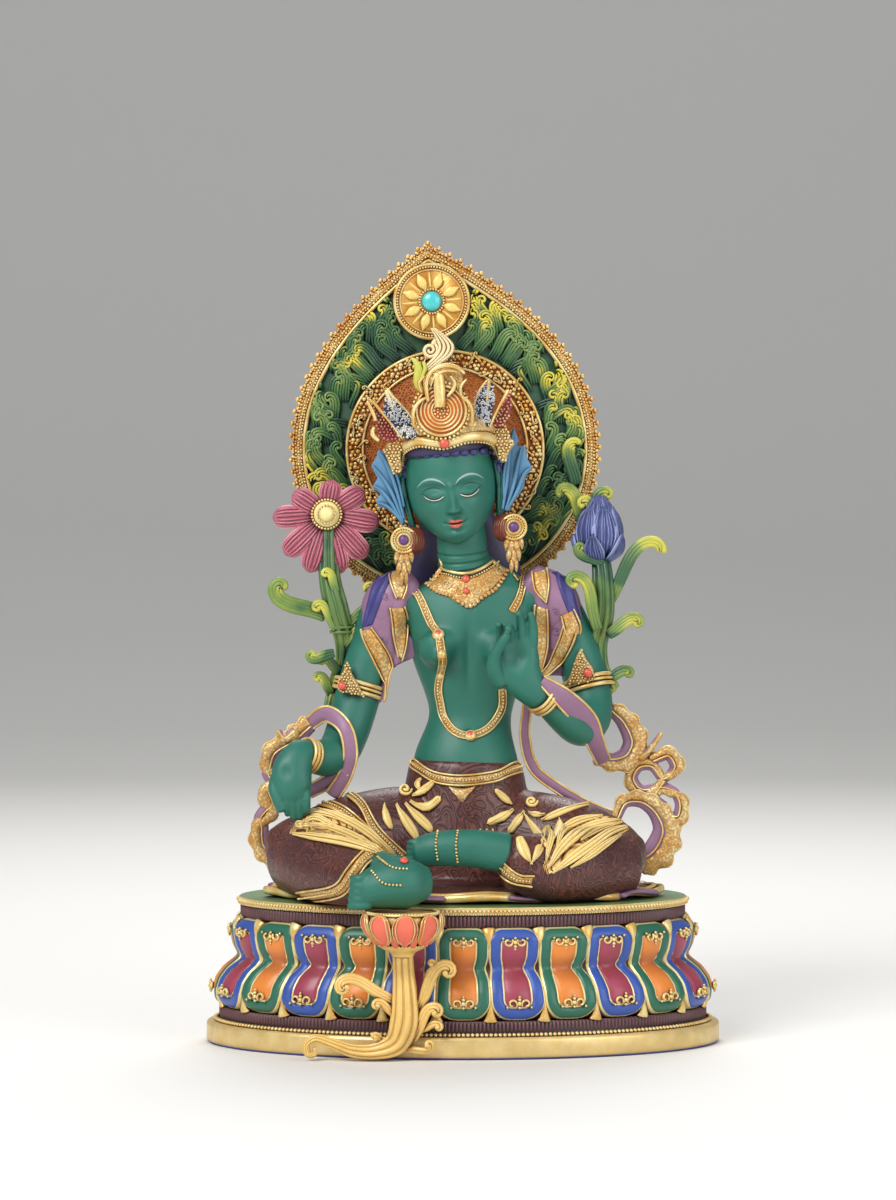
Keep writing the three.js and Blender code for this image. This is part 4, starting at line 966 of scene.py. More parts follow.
# ---------------------------------------------------------------- head
faceLevel = 4.2  # height of the eyes over the middle of the head's frame
skullRows = [[27, 5, -5, 8], [24.5, 10.5, -9.5, 13], [18, 15.2, -13, 17], [10, 16.6, -14.8, 18],
             [4, 16.6, -15, 17.4], [-2, 15.7, -14.8, 15.5], [-6, 14, -14.6, 13], [-9.5, 11.5, -14.4, 10],
             [-12.5, 8.4, -13.9, 6], [-14.6, 5.4, -12.8, 2], [-16, 2.4, -11, -3]]
face = {"eye": 7.0, "brow": 4.3, "nose": -7.6, "mouth": -11.9, "chin": -18}


def hill(x, z, cx, cz, wide, tall):
    return np.exp(-((x - cx) / wide) ** 2 - ((z - cz) / tall) ** 2)


def faceRelief(x, z):  # how far the face stands out, with z from the level of the eyes
    side = np.abs(x)
    eye, nose, mouth = face["eye"], face["nose"], face["mouth"]
    arch = face["brow"] - 0.05 * (side - eye) ** 2
    out = 0.5 * np.exp(-((z - arch) / 1.3) ** 2) * (side < 13.5)
    out -= 1.15 * hill(side, z, eye - 0.6, 1.4, 4.6, 1.9)
    out += 1.35 * hill(side, z, eye, -0.5, 3.4, 1.9)
    out -= 0.35 * hill(side, z, eye, -3.4, 4.0, 1.0)
    ridge = np.clip((3.5 - z) / 11, 0, 1)
    bridge = (0.5 + 2.7 * ridge ** 1.2) * np.exp(-(x / (1.25 + 0.75 * ridge)) ** 2)
    out += bridge * np.clip((z - nose + 1.1) / 1.3, 0, 1) ** 0.7 * np.clip((5.5 - z) / 3, 0, 1)
    out += 1.05 * hill(side, z, 2.0, nose + 0.5, 0.95, 0.95)
    out -= 0.3 * hill(x, z, 0, mouth + 2.3, 0.55, 1.0)
    out += 0.75 * hill(side, z, 1.0, mouth + 0.85, 1.6, 0.65)
    out += 0.95 * hill(x, z, 0, mouth - 1.05, 2.1, 0.8)
    out -= 0.7 * hill(x, z, 0, mouth - 0.1 + 0.03 * x ** 2, 3.4, 0.28)
    out -= 0.4 * hill(side, z, 3.9, mouth + 0.3, 0.8, 0.8)
    out -= 0.55 * hill(x, z, 0, mouth - 2.7, 2.8, 0.8)
    out += 1.0 * hill(x, z, 0, -16.0, 3.0, 2.0)
    out += 0.8 * hill(side, z, 8.2, -6.0, 4.0, 3.6)
    return out


def makeHead():
    rows = np.array(skullRows, float)
    bpy.ops.mesh.primitive_uv_sphere_add(segments=240, ring_count=200)
    skull = bpy.context.active_object
    raw = corners(skull)
    level = np.interp(raw[:, 2], [-1, 1], [-16.4, 28])
    fine = through(rows[np.argsort(rows[:, 0])], 140)
    half, ahead, behind = (np.interp(level, fine[:, 0], fine[:, i]) for i in (1, 2, 3))
    girth = np.sqrt(np.clip(1 - raw[:, 2] ** 2, 0, 1))
    close = np.clip(girth / 0.24, 0, 1) ** 0.5
    turn = np.arctan2(raw[:, 0], -raw[:, 1])
    middle = (ahead + behind) / 2
    x = half * close * np.sin(turn)
    y = middle - (behind - ahead) / 2 * close * np.cos(turn)
    facing = np.clip(np.cos(turn) * 1.5 - 0.1, 0, 1)
    y = y - faceRelief(x, level - faceLevel) * facing
    reshape(skull, onHead(np.stack([x, y, level], 1)))
    ears = []
    for side in (-1, 1):
        ears.append(limb([[side * 16.2, 1.5, 12, 1.2, 2.0], [side * 17.3, 1.0, 8.6, 1.5, 3.2],
                          [side * 17.3, 0.4, 2, 1.3, 2.7], [side * 16.6, -0.2, -4, 1.2, 2.2],
                          [side * 16.2, -0.6, -11, 1.3, 2.0]], at=onHead, sides=20))
        rim = [[side * 17.2, -1.6, 11.6, 0.55], [side * 18.7, -0.8, 10, 0.62], [side * 19, -0.9, 5.4, 0.62],
               [side * 18.2, -1.6, 0, 0.6], [side * 17.4, -1.9, -5, 0.6], [side * 17, -2.2, -11, 0.6]]
        ears.append(limb(rim, at=onHead, sides=10))
        ears.append(limb([[side * 17.6, -1.9, 8.6, 0.4], [side * 18, -1.9, 5, 0.5], [side * 17.3, -2, 1.6, 0.45]],
                         at=onHead, sides=8))
    return together("skin_head", [skull, *ears], skinPaint)


def faceLine(tree, rows, width, height, taper="leaf", lift=0.0):  # rows of (x, z) in the head's own frame
    points = through(rows, 26)
    spots, outs = [], []
    for x, z in points:
        start = Vector(onHead([[x, -40, z + faceLevel]])[0])
        aim = Vector(onHead([[x, 0, z + faceLevel]])[0]) - start
        spot, out, _, _ = tree.ray_cast(start, aim.normalized())
        spots.append(spot)
        outs.append(out)
    outs = unit(settle(np.array(outs), 3))
    spots = np.array(spots) + outs * lift
    share = tapers[taper](np.linspace(0, 1, len(spots)))
    return sweep(spots, outs, share * width, share * height, 8, 0.8)


def makeFaceLines(head):
    tree = treeOf(head)
    brows, whites, darks, lips = [], [], [], []
    mouth = face["mouth"]
    for side in (-1, 1):
        def mirrored(rows):
            return [(side * x, z) for x, z in rows]
        brows.append(faceLine(tree, mirrored([(1.7, 2.4), (3.8, 4.3), (6.8, 5.3), (9.8, 4.7), (12.4, 2.6)]), 0.46, 0.32))
        lid = [(3.0, -1.0), (4.8, -1.9), (7.0, -2.1), (9.2, -1.2), (11.2, 0.5)]
        darks.append(faceLine(tree, mirrored(lid), 0.34, 0.26))
        whites.append(faceLine(tree, mirrored([(x, z - 0.42) for x, z in lid[:-1]] + [(10.4, -0.4)]), 0.36, 0.22))
        darks.append(faceLine(tree, mirrored([(x, z - 0.82) for x, z in lid[:-1]] + [(9.9, -1.0)]), 0.13, 0.16))
        darks.append(faceLine(tree, mirrored([(3.2, 0.9), (5, 1.8), (7.2, 2.0), (9.4, 1.4), (11, 0.6)]), 0.16, 0.14))
    lips.append(faceLine(tree, [(-3.0, mouth + 0.3), (-1.4, mouth + 0.85), (0, mouth + 0.55), (1.4, mouth + 0.85),
                                (3.0, mouth + 0.3)], 0.62, 0.34))
    lips.append(faceLine(tree, [(-2.4, mouth - 0.4), (-1.2, mouth - 0.95), (0, mouth - 1.1), (1.2, mouth - 0.95),
                                (2.4, mouth - 0.4)], 0.74, 0.42))
    darks.append(faceLine(tree, [(-3.7, mouth + 0.45), (-2.2, mouth + 0.05), (0, mouth - 0.18), (2.2, mouth + 0.05),
                                 (3.7, mouth + 0.45)], 0.12, 0.24, "leaf", 0.12))
    together("face_brows", brows, paint("browPaint", tone(140, 170, 168), tone(60, 90, 90), 0.5, 0.5, 0.3))
    together("face_whites", whites, paint("eyeWhitePaint", tone(232, 226, 214), tone(160, 150, 140), 0.35, 0.5, 0.2))
    together("face_darks", darks, paint("lashPaint", tone(16, 20, 22), tone(4, 6, 8), 0.4, 0.5, 0.2))
    together("face_lips", lips, paint("lipPaint", tone(190, 88, 72), tone(120, 40, 34), 0.35, 0.8, 0.5))


def makeNeck():
    rows = through([[1.2, 7.6, 117, 12, 9], [0.6, 7, 121, 9.7, 8.9], [0, 5.8, 126, 9.2, 8.7], [-0.6, 4, 134, 8.8, 8.6],
                    [-1.2, 3.4, 140, 8.4, 8.4]], 90)
    fold = sum(np.exp(-((rows[:, 2] - level) / 0.42) ** 2) for level in (121.6, 124.4, 127.2))
    rows[:, 3:] += 0.35 - 0.6 * fold[:, None]
    together("skin_neck", [sweep(onPlate(rows[:, :3]), front, rows[:, 3], rows[:, 4], 44, 0.1)], skinPaint)


head = makeHead()
makeFaceLines(head)
makeNeck()
headSurface = treeOf(head)
print("head made")


# ---------------------------------------------------------------- robe
def makeRobe():
    level = {"facing": upward, "sides": 32}
    parts = [
        limb([[-4, 8, 19, 17, 18.5], [-24, 0, 20.5, 16.8, 19.3], [-44, -8, 19.5, 15.8, 16.8],
              [-60, -14, 18, 12.3, 12.3], [-68, -17, 16.5, 8, 9.5]], **level),
        limb([[-63, -15, 15, 10, 12.8], [-54, -31, 13, 11.3, 13], [-43, -46, 11.5, 10.8, 11.6],
              [-34, -55, 12, 9.3, 10.6]], **level),
        limb([[8, 8, 19, 17, 18.5], [26, 0, 19.5, 16.8, 18.6], [44, -8, 18, 15.8, 16],
              [57, -14, 15.5, 12.3, 12], [63, -17, 14.5, 7, 8.5]], **level),
        limb([[59, -17, 13, 9, 12.3], [45, -29, 12.5, 10.8, 12.8], [30, -37, 13, 10.3, 12.6],
              [18, -40, 15.5, 8.8, 10.3]], **level),
        limb([[1, 6, 2, 25.6, 21.6], [1, 6, 20, 25.6, 20.6], [1.1, 6, 42, 22.2, 17.4],
              [1.3, 6.2, 48.6, 20.6, 16.2]], sides=40, dome=0.1),
    ]
    columns = 240
    turn = np.linspace(0, 2 * np.pi, columns, endpoint=False)
    ripple = 1 + 0.025 * np.sin(9 * turn + 1) + 0.012 * np.sin(17 * turn)
    rows = [(0.4, 0.0), (0.4, 0.6), (0.4, 0.985), (1.4, 1.0), (2.6, 0.99), (3.2, 0.9), (5.2, 0.75), (6, 0.4), (6, 0.0)]
    points = []
    for level_, reach in rows:
        lift = 0.5 * np.sin(13 * turn) * (reach > 0.8) * (level_ > 1)
        points.append(np.stack([72 * reach * ripple * np.sin(turn), -3 - 38 * reach * ripple * np.cos(turn),
                                level_ + lift], 1))
    skirt = meshOf("skirt", onPlate(np.vstack(points)), gridMesh("skirt", columns, len(rows)))
    pick([skirt])
    bpy.ops.object.mode_set(mode="EDIT")
    bpy.ops.mesh.select_all(action="SELECT")
    bpy.ops.mesh.remove_doubles(threshold=0.00001)
    bpy.ops.mesh.normals_make_consistent(inside=False)
    bpy.ops.object.mode_set(mode="OBJECT")
    parts.append(skirt)
    return fuse("robe", parts, 0.8, 7)


def engravedPaint():
    made, tree, shader = newMaterial("robeEngraved")
    where = node(tree, "TexCoord").outputs["Object"]
    flow = node(tree, "TexNoise", {"Scale": 74.0, "Detail": 1.5, "Roughness": 0.45, "Distortion": 1.8, "Vector": where})
    ripple = calc(tree, "SINE", calc(tree, "MULTIPLY", flow.outputs["Fac"], 88.0))
    line = between(tree, ripple, 0.5, 1.0)
    base = blend(tree, between(tree, noise(tree, 45.0), 0.4, 0.6), tone(86, 40, 32), tone(72, 33, 34))
    base = blend(tree, calc(tree, "MULTIPLY", line, 0.45), base, tone(54, 24, 22))
    lit = between(tree, ripple, -0.6, -1.0)
    base = blend(tree, calc(tree, "MULTIPLY", lit, 0.4), base, tone(136, 78, 62))
    brushed(tree, shader, base, tone(26, 8, 12), 0.44, 2.6, 0.85, 0.2)
    bumpTo(tree, shader, calc(tree, "SUBTRACT", 1.0, line), 0.0003)
    return made


robe = together("robe", [makeRobe()], engravedPaint())
robeSurface = treeOf(robe)
trunkSurface = treeOf(trunk)
bodySurface = treeOf(robe, trunk)
print("robe made")


# ---------------------------------------------------------------- small forms used by several pieces
def plate(outline, front_, thickness, at=onPlate, edge=0.4):  # an upright plate drawn as seen from the front
    outline = np.array(outline, float)
    bpy.ops.mesh.primitive_circle_add(vertices=len(outline), radius=1, fill_type="NGON")
    piece = bpy.context.active_object
    reshape(piece, at(np.stack([outline[:, 0], np.full(len(outline), float(front_)), outline[:, 1]], 1)))
    back = (at([[0, thickness, 0]]) - at([[0, 0, 0]]))[0] * mm
    bpy.ops.object.mode_set(mode="EDIT")
    bpy.ops.mesh.select_all(action="SELECT")
    bpy.ops.mesh.extrude_region_move(TRANSFORM_OT_translate={"value": tuple(back)})
    bpy.ops.mesh.select_all(action="SELECT")
    bpy.ops.mesh.normals_make_consistent(inside=False)
    bpy.ops.object.mode_set(mode="OBJECT")
    if edge:
        pick([piece])
        rounding = piece.modifiers.new("rounding", "BEVEL")
        rounding.width = edge * mm
        rounding.segments = 2
        rounding.limit_method = "ANGLE"
        bpy.ops.object.modifier_apply(modifier="rounding")
    return piece


def drawn(picture, depth):  # a drawing in the picture, as (x, z) of the figure at a depth
    k = 1 + depth / 1650
    return [((a - 463) * 0.37 * k, 150.7 + (487 - b) * 0.37 * k) for a, b in picture]


def inside(outline, x, z):
    outline = np.array(outline, float)
    odd = np.zeros(np.shape(x), bool)
    for (x0, z0), (x1, z1) in zip(outline, np.roll(outline, -1, 0)):
        crosses = ((z0 > z) != (z1 > z)) & (x < (x1 - x0) * (z - z0) / (z1 - z0 + 1e-9) + x0)
        odd ^= crosses
    return odd


def strewn(outline, pitch, seed):  # spots spread evenly but not in rows within an outline
    dice = np.random.default_rng(seed)
    outline = np.array(outline, float)
    low, high = outline.min(0), outline.max(0)
    x, z = np.meshgrid(np.arange(low[0], high[0], pitch), np.arange(low[1], high[1], pitch * 0.87))
    x = x + (np.arange(len(x)) % 2)[:, None] * pitch / 2 + dice.uniform(-0.22, 0.22, x.shape) * pitch
    z = z + dice.uniform(-0.22, 0.22, z.shape) * pitch
    kept = inside(outline, x, z)
    return np.stack([x[kept], z[kept]], 1)


def circle(centre, radius, count, at=onPlate, tilt=None):  # an upright ring of spots
    turn = np.linspace(0, 2 * np.pi, count, endpoint=False)
    ring = np.stack([np.cos(turn) * radius, 0 * turn, np.sin(turn) * radius], 1)
    if tilt is not None:
        ring = ring @ np.array(Matrix.Rotation(math.radians(tilt), 3, "Z")).T
    return at(ring + centre)


def facingOf(at):
    return unit((at([[0, -1, 0]]) - at([[0, 0, 0]]))[0])


def strandsOn(surface, rows, width, height, **more):
    return [strand(surface, row, width, height, **more) for row in rows]


def flutedLeaves(surface, rows, height, lift):
    made = []
    for row in rows:
        line = through(row, 24)
        way = unit(np.gradient(line[:, :2], axis=0))
        for lane in (-0.6, 0, 0.6):
            side = np.stack([-way[:, 1], way[:, 0]], 1) * line[:, 2:3] * lane
            ridge = np.hstack([line[:, :2] + side, line[:, 2:3] * 0.44])
            made.append(strand(surface, ridge, 1, height, lift + (0.25 if lane == 0 else 0), sides=8))
    return made


def gem(surface, across, down, radius, lift=0.6, depth=0, tall=1.0):
    spot, out = land(surface, across, down, depth)
    out = np.array(out)
    spot = np.array(spot) + out * lift
    side = unit(np.cross(out, upward))
    over = np.cross(side, out)
    bpy.ops.mesh.primitive_uv_sphere_add(segments=20, ring_count=12)
    piece = bpy.context.active_object
    raw = corners(piece)
    reshape(piece, spot + raw[:, 0:1] * side * radius + raw[:, 1:2] * over * radius * tall
            + raw[:, 2:3] * out * radius * 0.7)
    return piece


# Cloth or leaf metal that lies on a surface between two lines of the picture
def drape(surface, first, second, rows=60, columns=14, lift=1.0, fold=None, depth=0, sink=0.5, passes=4):
    a, b = through(first, rows), through(second, rows)
    bpy.ops.mesh.primitive_grid_add(x_subdivisions=columns - 1, y_subdivisions=rows - 1)
    piece = bpy.context.active_object
    raw = corners(piece)
    across = np.rint((raw[:, 0] + 1) / 2 * (columns - 1)).astype(int)
    down = np.rint((1 - raw[:, 1]) / 2 * (rows - 1)).astype(int)
    spots, outs = np.zeros((rows, columns, 3)), np.zeros((rows, columns, 3))
    for i in range(rows):
        for j in range(columns):
            point = a[i] + (b[i] - a[i]) * j / (columns - 1)
            spots[i, j], outs[i, j] = land(surface, point[0], point[1], depth)
    for _ in range(passes):
        for grid in (spots, outs):
            grid[1:-1] = (grid[:-2] + 2 * grid[1:-1] + grid[2:]) / 4
            grid[:, 1:-1] = (grid[:, :-2] + 2 * grid[:, 1:-1] + grid[:, 2:]) / 4
    outs = unit(outs)
    t = np.linspace(0, 1, rows)[:, None] + 0 * np.zeros(columns)
    s = np.linspace(0, 1, columns)[None, :] + 0 * t
    rim = np.minimum(np.minimum(s, 1 - s) * (columns - 1), np.minimum(t, 1 - t) * (rows - 1)) / 1.6
    height = (lift + sink) * np.clip(rim, 0, 1) ** 0.5 - sink
    if fold:
        height = height + fold(t, s) * np.clip(rim / 2, 0, 1)
    points = (spots + outs * height[..., None])[down, across]
    reshape(piece, points)
    normals = np.array([p.normal for p in piece.data.polygons])
    if normals.mean(0) @ outs.mean((0, 1)) < 0:
        bpy.ops.object.mode_set(mode="EDIT")
        bpy.ops.mesh.select_all(action="SELECT")
        bpy.ops.mesh.flip_normals()
        bpy.ops.object.mode_set(mode="OBJECT")
    return piece


# Fine metal lines that wander and curl within an outline
def sprayLine(base, heading, length, curl, count=22):  # an S that ends in a tight curl
    s = np.linspace(0, 1, 90)
    turn = heading + curl * (-1.3 * s + 1.0 * s ** 2 + 5.6 * s ** 4.2)
    row = np.stack([np.cumsum(np.cos(turn)), np.cumsum(np.sin(turn))], 1) * length / 90 + np.array(base)
    wanted = 1 - (1 - np.linspace(0, 1, count)) ** 1.35
    return np.stack([np.interp(wanted, s, row[:, i]) for i in range(2)], 1)


def filigree(outline, front_, at, pitch, seed, radius=0.22, length=3.2):
    dice = random.Random(seed)
    out = facingOf(at)
    made = []
    for x, z in strewn(outline, pitch, seed):
        heading, way = dice.uniform(0, 6.28), dice.choice((-1, 1))
        s = np.linspace(0, 1, 12)
        turn = heading + way * (0.6 * s + 4.2 * s ** 3)
        step = length / 12
        row = np.stack([x + np.cumsum(np.cos(turn)) * step, z + np.cumsum(np.sin(turn)) * step], 1)
        kept = inside(outline, row[:, 0], row[:, 1])
        row = row[:max(4, int(kept.argmin()) if not kept.all() else 12)]
        points = at(np.stack([row[:, 0], np.full(len(row), float(front_)), row[:, 1]], 1))
        made.append(sweep(points, out, radius, radius * 1.2, 5, 0.8, 2))
    return made


# ---------------------------------------------------------------- crown, hair, ribbons and earrings
crown = {
    "roll": [[-21.6, 2, 159.4, 1.5], [-22, -5, 164.6, 1.9], [-16.4, -12, 167.6, 1.9], [-7, -15.4, 166.8, 1.8],
             [2.4, -14.6, 169.2, 1.9], [10.4, -8.4, 168.4, 1.9], [13.8, 0, 162.6, 1.5]],
    "boss": (-8.0, 178.6), "bossFront": -18.6,
    "silver": [[(421, 438), (401, 438), (392, 425), (384, 411), (386, 392), (390, 393), (400, 405), (414, 418), (420, 428)],
               [(473.6, 425), (473, 410), (475, 397), (482, 386), (489, 380), (493, 386), (495, 398), (493, 411),
                (489, 426)]],
    "pink": [[(400, 440), (390, 442), (378, 436), (375, 422), (370, 412), (368, 402), (376, 404), (388, 418)],
             [(490, 428), (497, 411), (508, 391), (511, 392), (512, 406), (508, 420), (504, 427)]],
    "wings": [[(391, 437), (403, 441), (401, 451), (401, 459), (402, 472), (393, 474), (387, 459), (384, 450)],
              [(490, 428), (506, 426), (510, 437), (515, 444), (509, 452), (506, 462), (501, 463), (498, 452),
               (495, 441)]],
    "ribbons": [[(405, 524), (396, 516), (388, 509), (378, 507), (376, 500), (381, 494), (372, 487), (378, 478),
                 (371, 466), (377, 456), (378, 449), (385, 453), (392, 462), (398, 478), (404, 500)],
                [(501, 512), (503, 495), (501, 472), (504, 456), (509, 449), (508, 438), (514, 427), (519, 441),
                 (516, 446), (526, 446), (527, 458), (533, 468), (526, 476), (524, 488), (515, 500), (508, 512)]],
}


def makeCrown():
    hair = [
        limb([[0, 0.3, 17.6, 16.4, 14.6], [0, 0.4, 20, 16.2, 14.5], [0, 1.4, 26, 12.6, 10.8]], at=onHead, sides=40, rings=20,
             dome=0.05),
        limb([[0, 4.4, 4, 16.8, 12], [0, 4.4, 14, 17.2, 12.4], [0, 3.4, 19, 16.4, 12]], at=onHead, sides=40, rings=20, dome=0.1),
        ball([-7.4, 7, 181], [9, 8.6, 12.6]),
        limb([[-4.6, 14, 160, 14, 7], [-2.4, 17, 140, 14, 6], [0.6, 19.5, 120, 21, 5], [2, 20.5, 102, 19, 3.6],
              [2.4, 20, 88, 8, 2.4]], sides=32),
    ]
    together("hair", [fuse("hair", hair, 0.8, 4)], paint("hairPaint", tone(44, 38, 74), tone(14, 10, 26), 0.5, 2.0, 0.9, 0.2))
    curls = []
    for i in range(10):
        across = 409 + i * 9.2
        curls.append(gem(headSurface, across, 455.5 - 0.06 * (across - 409), 2.0, 0.0, tall=0.75))
    for across, down in ((406, 458), (405, 465), (405.5, 473), (498, 452), (499, 460), (499, 468)):
        curls.append(gem(headSurface, across, down, 1.3, 0.0, tall=1.6))
    together("hair_curls", curls, indigoPaint)

    proto = bead()
    roll = np.array(crown["roll"])
    beads = []
    line = through(roll[:, :3] + (0, -0.4, -2.1), 160)
    beads.append(copies(proto, evenly(onPlate(line), 1.35), front, 0.62))
    gold = [limb(roll, facing=upward, sides=20, rings=90)]
    stippled = [limb([[-20, -3, 170.4, 2.2], [-15, -10.6, 172, 2.9], [-7, -14, 171, 3.2], [2, -13.4, 173, 3.1],
                      [8.6, -8.4, 173, 2.9], [12.4, -1, 168, 2.2]], facing=upward, sides=20, rings=60)]
    # boss of nested rings
    x, z = crown["boss"]
    y = crown["bossFront"]
    orange = [limb([[x, y + 5, z, 8.8], [x, y + 1.3, z, 8.8], [x, y + 0.9, z, 8.4]], facing=upward, sides=48, rings=6,
                   dome=0.05)]
    for radius, wide in ((9.1, 0.62), (7.5, 0.42), (6.1, 0.42), (4.8, 0.42), (3.5, 0.4)):
        gold.append(hoop(circle([x, y + 0.7, z], radius, 72), front, wide, wide * 1.5))
    for radius, size, count in ((10.3, 0.62, 40), (2.5, 0.5, 12), (1.3, 0.5, 7), (0.2, 0.5, 1)):
        beads.append(copies(proto, circle([x, y + 0.3, z], radius, count), front, size))
    together("crown_orange", orange, paint("orangePaint", tone(206, 96, 40), tone(120, 40, 16), 0.4, 1, 0.6))
    gold.append(limb([[-8.4, y - 0.6, 180, 2.0, 1.3], [-8.6, y - 0.8, 186, 2.1, 1.4], [-9.2, y - 0.4, 192, 2.0, 1.3]],
                     sides=12, rings=14, dome=0.2))
    stippled.append(plate(drawn([(418, 436), (474, 432), (471, 418), (468, 404), (463, 396), (462, 384), (463, 376),
                                 (456, 368), (442, 364), (429, 370), (423, 380), (424, 392), (417, 402), (412, 416),
                                 (414, 428)], -14), -15, 4, edge=0.7))
    arch = [[(428, 400, 2), (426, 384, 2.4), (432, 371, 2.4), (444, 365.5, 2.6), (457, 367.5, 2.4), (464, 373, 1.6)],
            [(431, 386, 1), (435, 376, 1.6), (446, 370.5, 1.8), (457, 372, 1.2)],
            [(414, 426, 1.6), (413, 412, 2), (419, 402, 2), (426, 398, 1.4)],
            [(472, 426, 1.6), (473, 412, 2), (468, 401, 2), (461, 396, 1.6), (461, 386, 1.4), (466, 380, 1)],
            [(448, 396, 1.4), (454, 390, 2), (456, 382, 1.6), (451, 377, 1.2)], [(422, 392, 1.4), (418, 384, 1.8), (424, 377, 1.2)]]
    gold += strandsOn(-19.2, arch, 1, 1.1)
    # filigree leaves with spiked tips
    silver, pinks, wings = [], [], []
    grounds = {"silver": (-13, paint("silverGround", tone(34, 36, 62), tone(10, 10, 26), 0.45, 1, 1, 0.4)),
               "pink": (-9, paint("pinkGround", tone(150, 52, 60), tone(70, 16, 24), 0.45, 1, 1, 0.3))}
    silverWire, pinkWire = [], []
    for i, outline in enumerate(crown["silver"]):
        shape = drawn(outline, -13)
        silver.append(plate(shape, -13, 3, edge=0.5))
        silverWire += filigree(shape, -13.3, onPlate, 1.25, 3 + i, 0.24, 3.0)
        silverWire.append(copies(proto, onPlate([[a, -13.3, b] for a, b in strewn(shape, 1.5, 20 + i)]), front, 0.42))
    for i, outline in enumerate(crown["pink"]):
        shape = drawn(outline, -9)
        pinks.append(plate(shape, -9, 3, edge=0.5))
        pinkWire.append(copies(proto, onPlate([[a, -9.3, b] for a, b in strewn(shape, 1.35, 30 + i)]), front, 0.58))
    for i, outline in enumerate(crown["wings"]):
        shape = drawn(outline, -6)
        wings.append(plate(shape, -8, 5, edge=0.8))
        beads.append(copies(proto, onPlate([[a, -8.2, b] for a, b in strewn(shape, 1.3, 40 + i)]), front, 0.55))
    gold += strandsOn(-12.6, [[(423, 440, 1.4), (416, 424, 1.6), (404, 408, 1.4), (392, 396, 1.8), (388, 390, 2)],
                              [(402, 438, 1.2), (390, 422, 1.4), (376, 405, 1.6), (370, 400, 1.2)],
                              [(387, 392, 2.6), (391, 404, 2.4), (394, 412, 1.6)],
                              [(489, 381, 2.2), (488, 392, 2.4), (487, 402, 1.6)],
                              [(490, 427, 1.2), (497, 411, 1.4), (508, 391, 1.6)],
                              [(474, 426, 1.2), (474, 406, 1.4), (480, 390, 1.4), (487, 381, 1.4)],
                              [(378, 440, 2), (372, 434, 2.4), (374, 428, 1.6)], [(368, 402, 1.6), (373, 412, 2), (376, 420, 1.4)]],
                      1, 1.0)
    together("crown_silver_ground", silver, grounds["silver"][1])
    together("crown_silver_wire", silverWire, gilt("silverWire", tone(176, 178, 184), tone(226, 226, 214), tone(60, 60, 90)))
    together("crown_pink_ground", pinks, grounds["pink"][1])
    together("crown_pink_beads", pinkWire, gilt("pinkGilt", tone(206, 112, 92), tone(236, 180, 130), tone(110, 30, 36)))
    lime = strandsOn(-12, [[(424, 392, 3), (417, 384, 4.4), (420, 372, 5), (416, 362, 3), (412, 359, 1.4)],
                           [(421, 380, 3), (426, 370, 3), (424, 364, 2)]], 1, 1.4, sides=12)
    together("crown_lime_leaf", lime, paint("limePaint", tone(196, 196, 84), tone(90, 90, 24), 0.45, 1, 1, 0.25))
    together("crown_roll", gold, giltFine)
    together("crown_gilt", stippled + wings, giltStippled)
    together("crown_beads", beads, giltBeads)
    together("crown_gem", [gem(-17.4, 444.5, 443.6, 1.9)], coralPaint)
    remove(proto)


def makeRibbons():
    cloth = []
    for outline in crown["ribbons"]:
        cloth.append(plate(drawn(outline, 1), 0.6, 2.2, edge=0.7))
    cloth += strandsOn(0.2, [
        [(404, 518, 1.6), (396, 488, 2.2), (387, 464, 2.2), (379, 451, 1)], [(403, 521, 1.6), (393, 495, 2.2), (383, 478, 2), (373, 466, 1)],
        [(402, 522, 1.6), (392, 504, 2.2), (382, 491, 2), (374, 486, 1)], [(403, 523, 1.4), (394, 512, 2), (386, 505, 1.8), (378, 503, 1)],
        [(404, 506, 1.4), (399, 482, 1.8), (393, 466, 1.6), (386, 455, 1)],
        [(503, 508, 1.6), (507, 480, 2.2), (509, 455, 2.2), (514, 430, 1)], [(506, 509, 1.6), (514, 484, 2.2), (518, 462, 2.2), (522, 447, 1)],
        [(507, 510, 1.6), (518, 490, 2.2), (524, 474, 2), (530, 468, 1)], [(504, 498, 1.4), (504, 476, 1.8), (507, 458, 1.6), (512, 444, 1)],
    ], 1, 1.0, sides=10)
    together("ribbons", cloth, skyPaint)


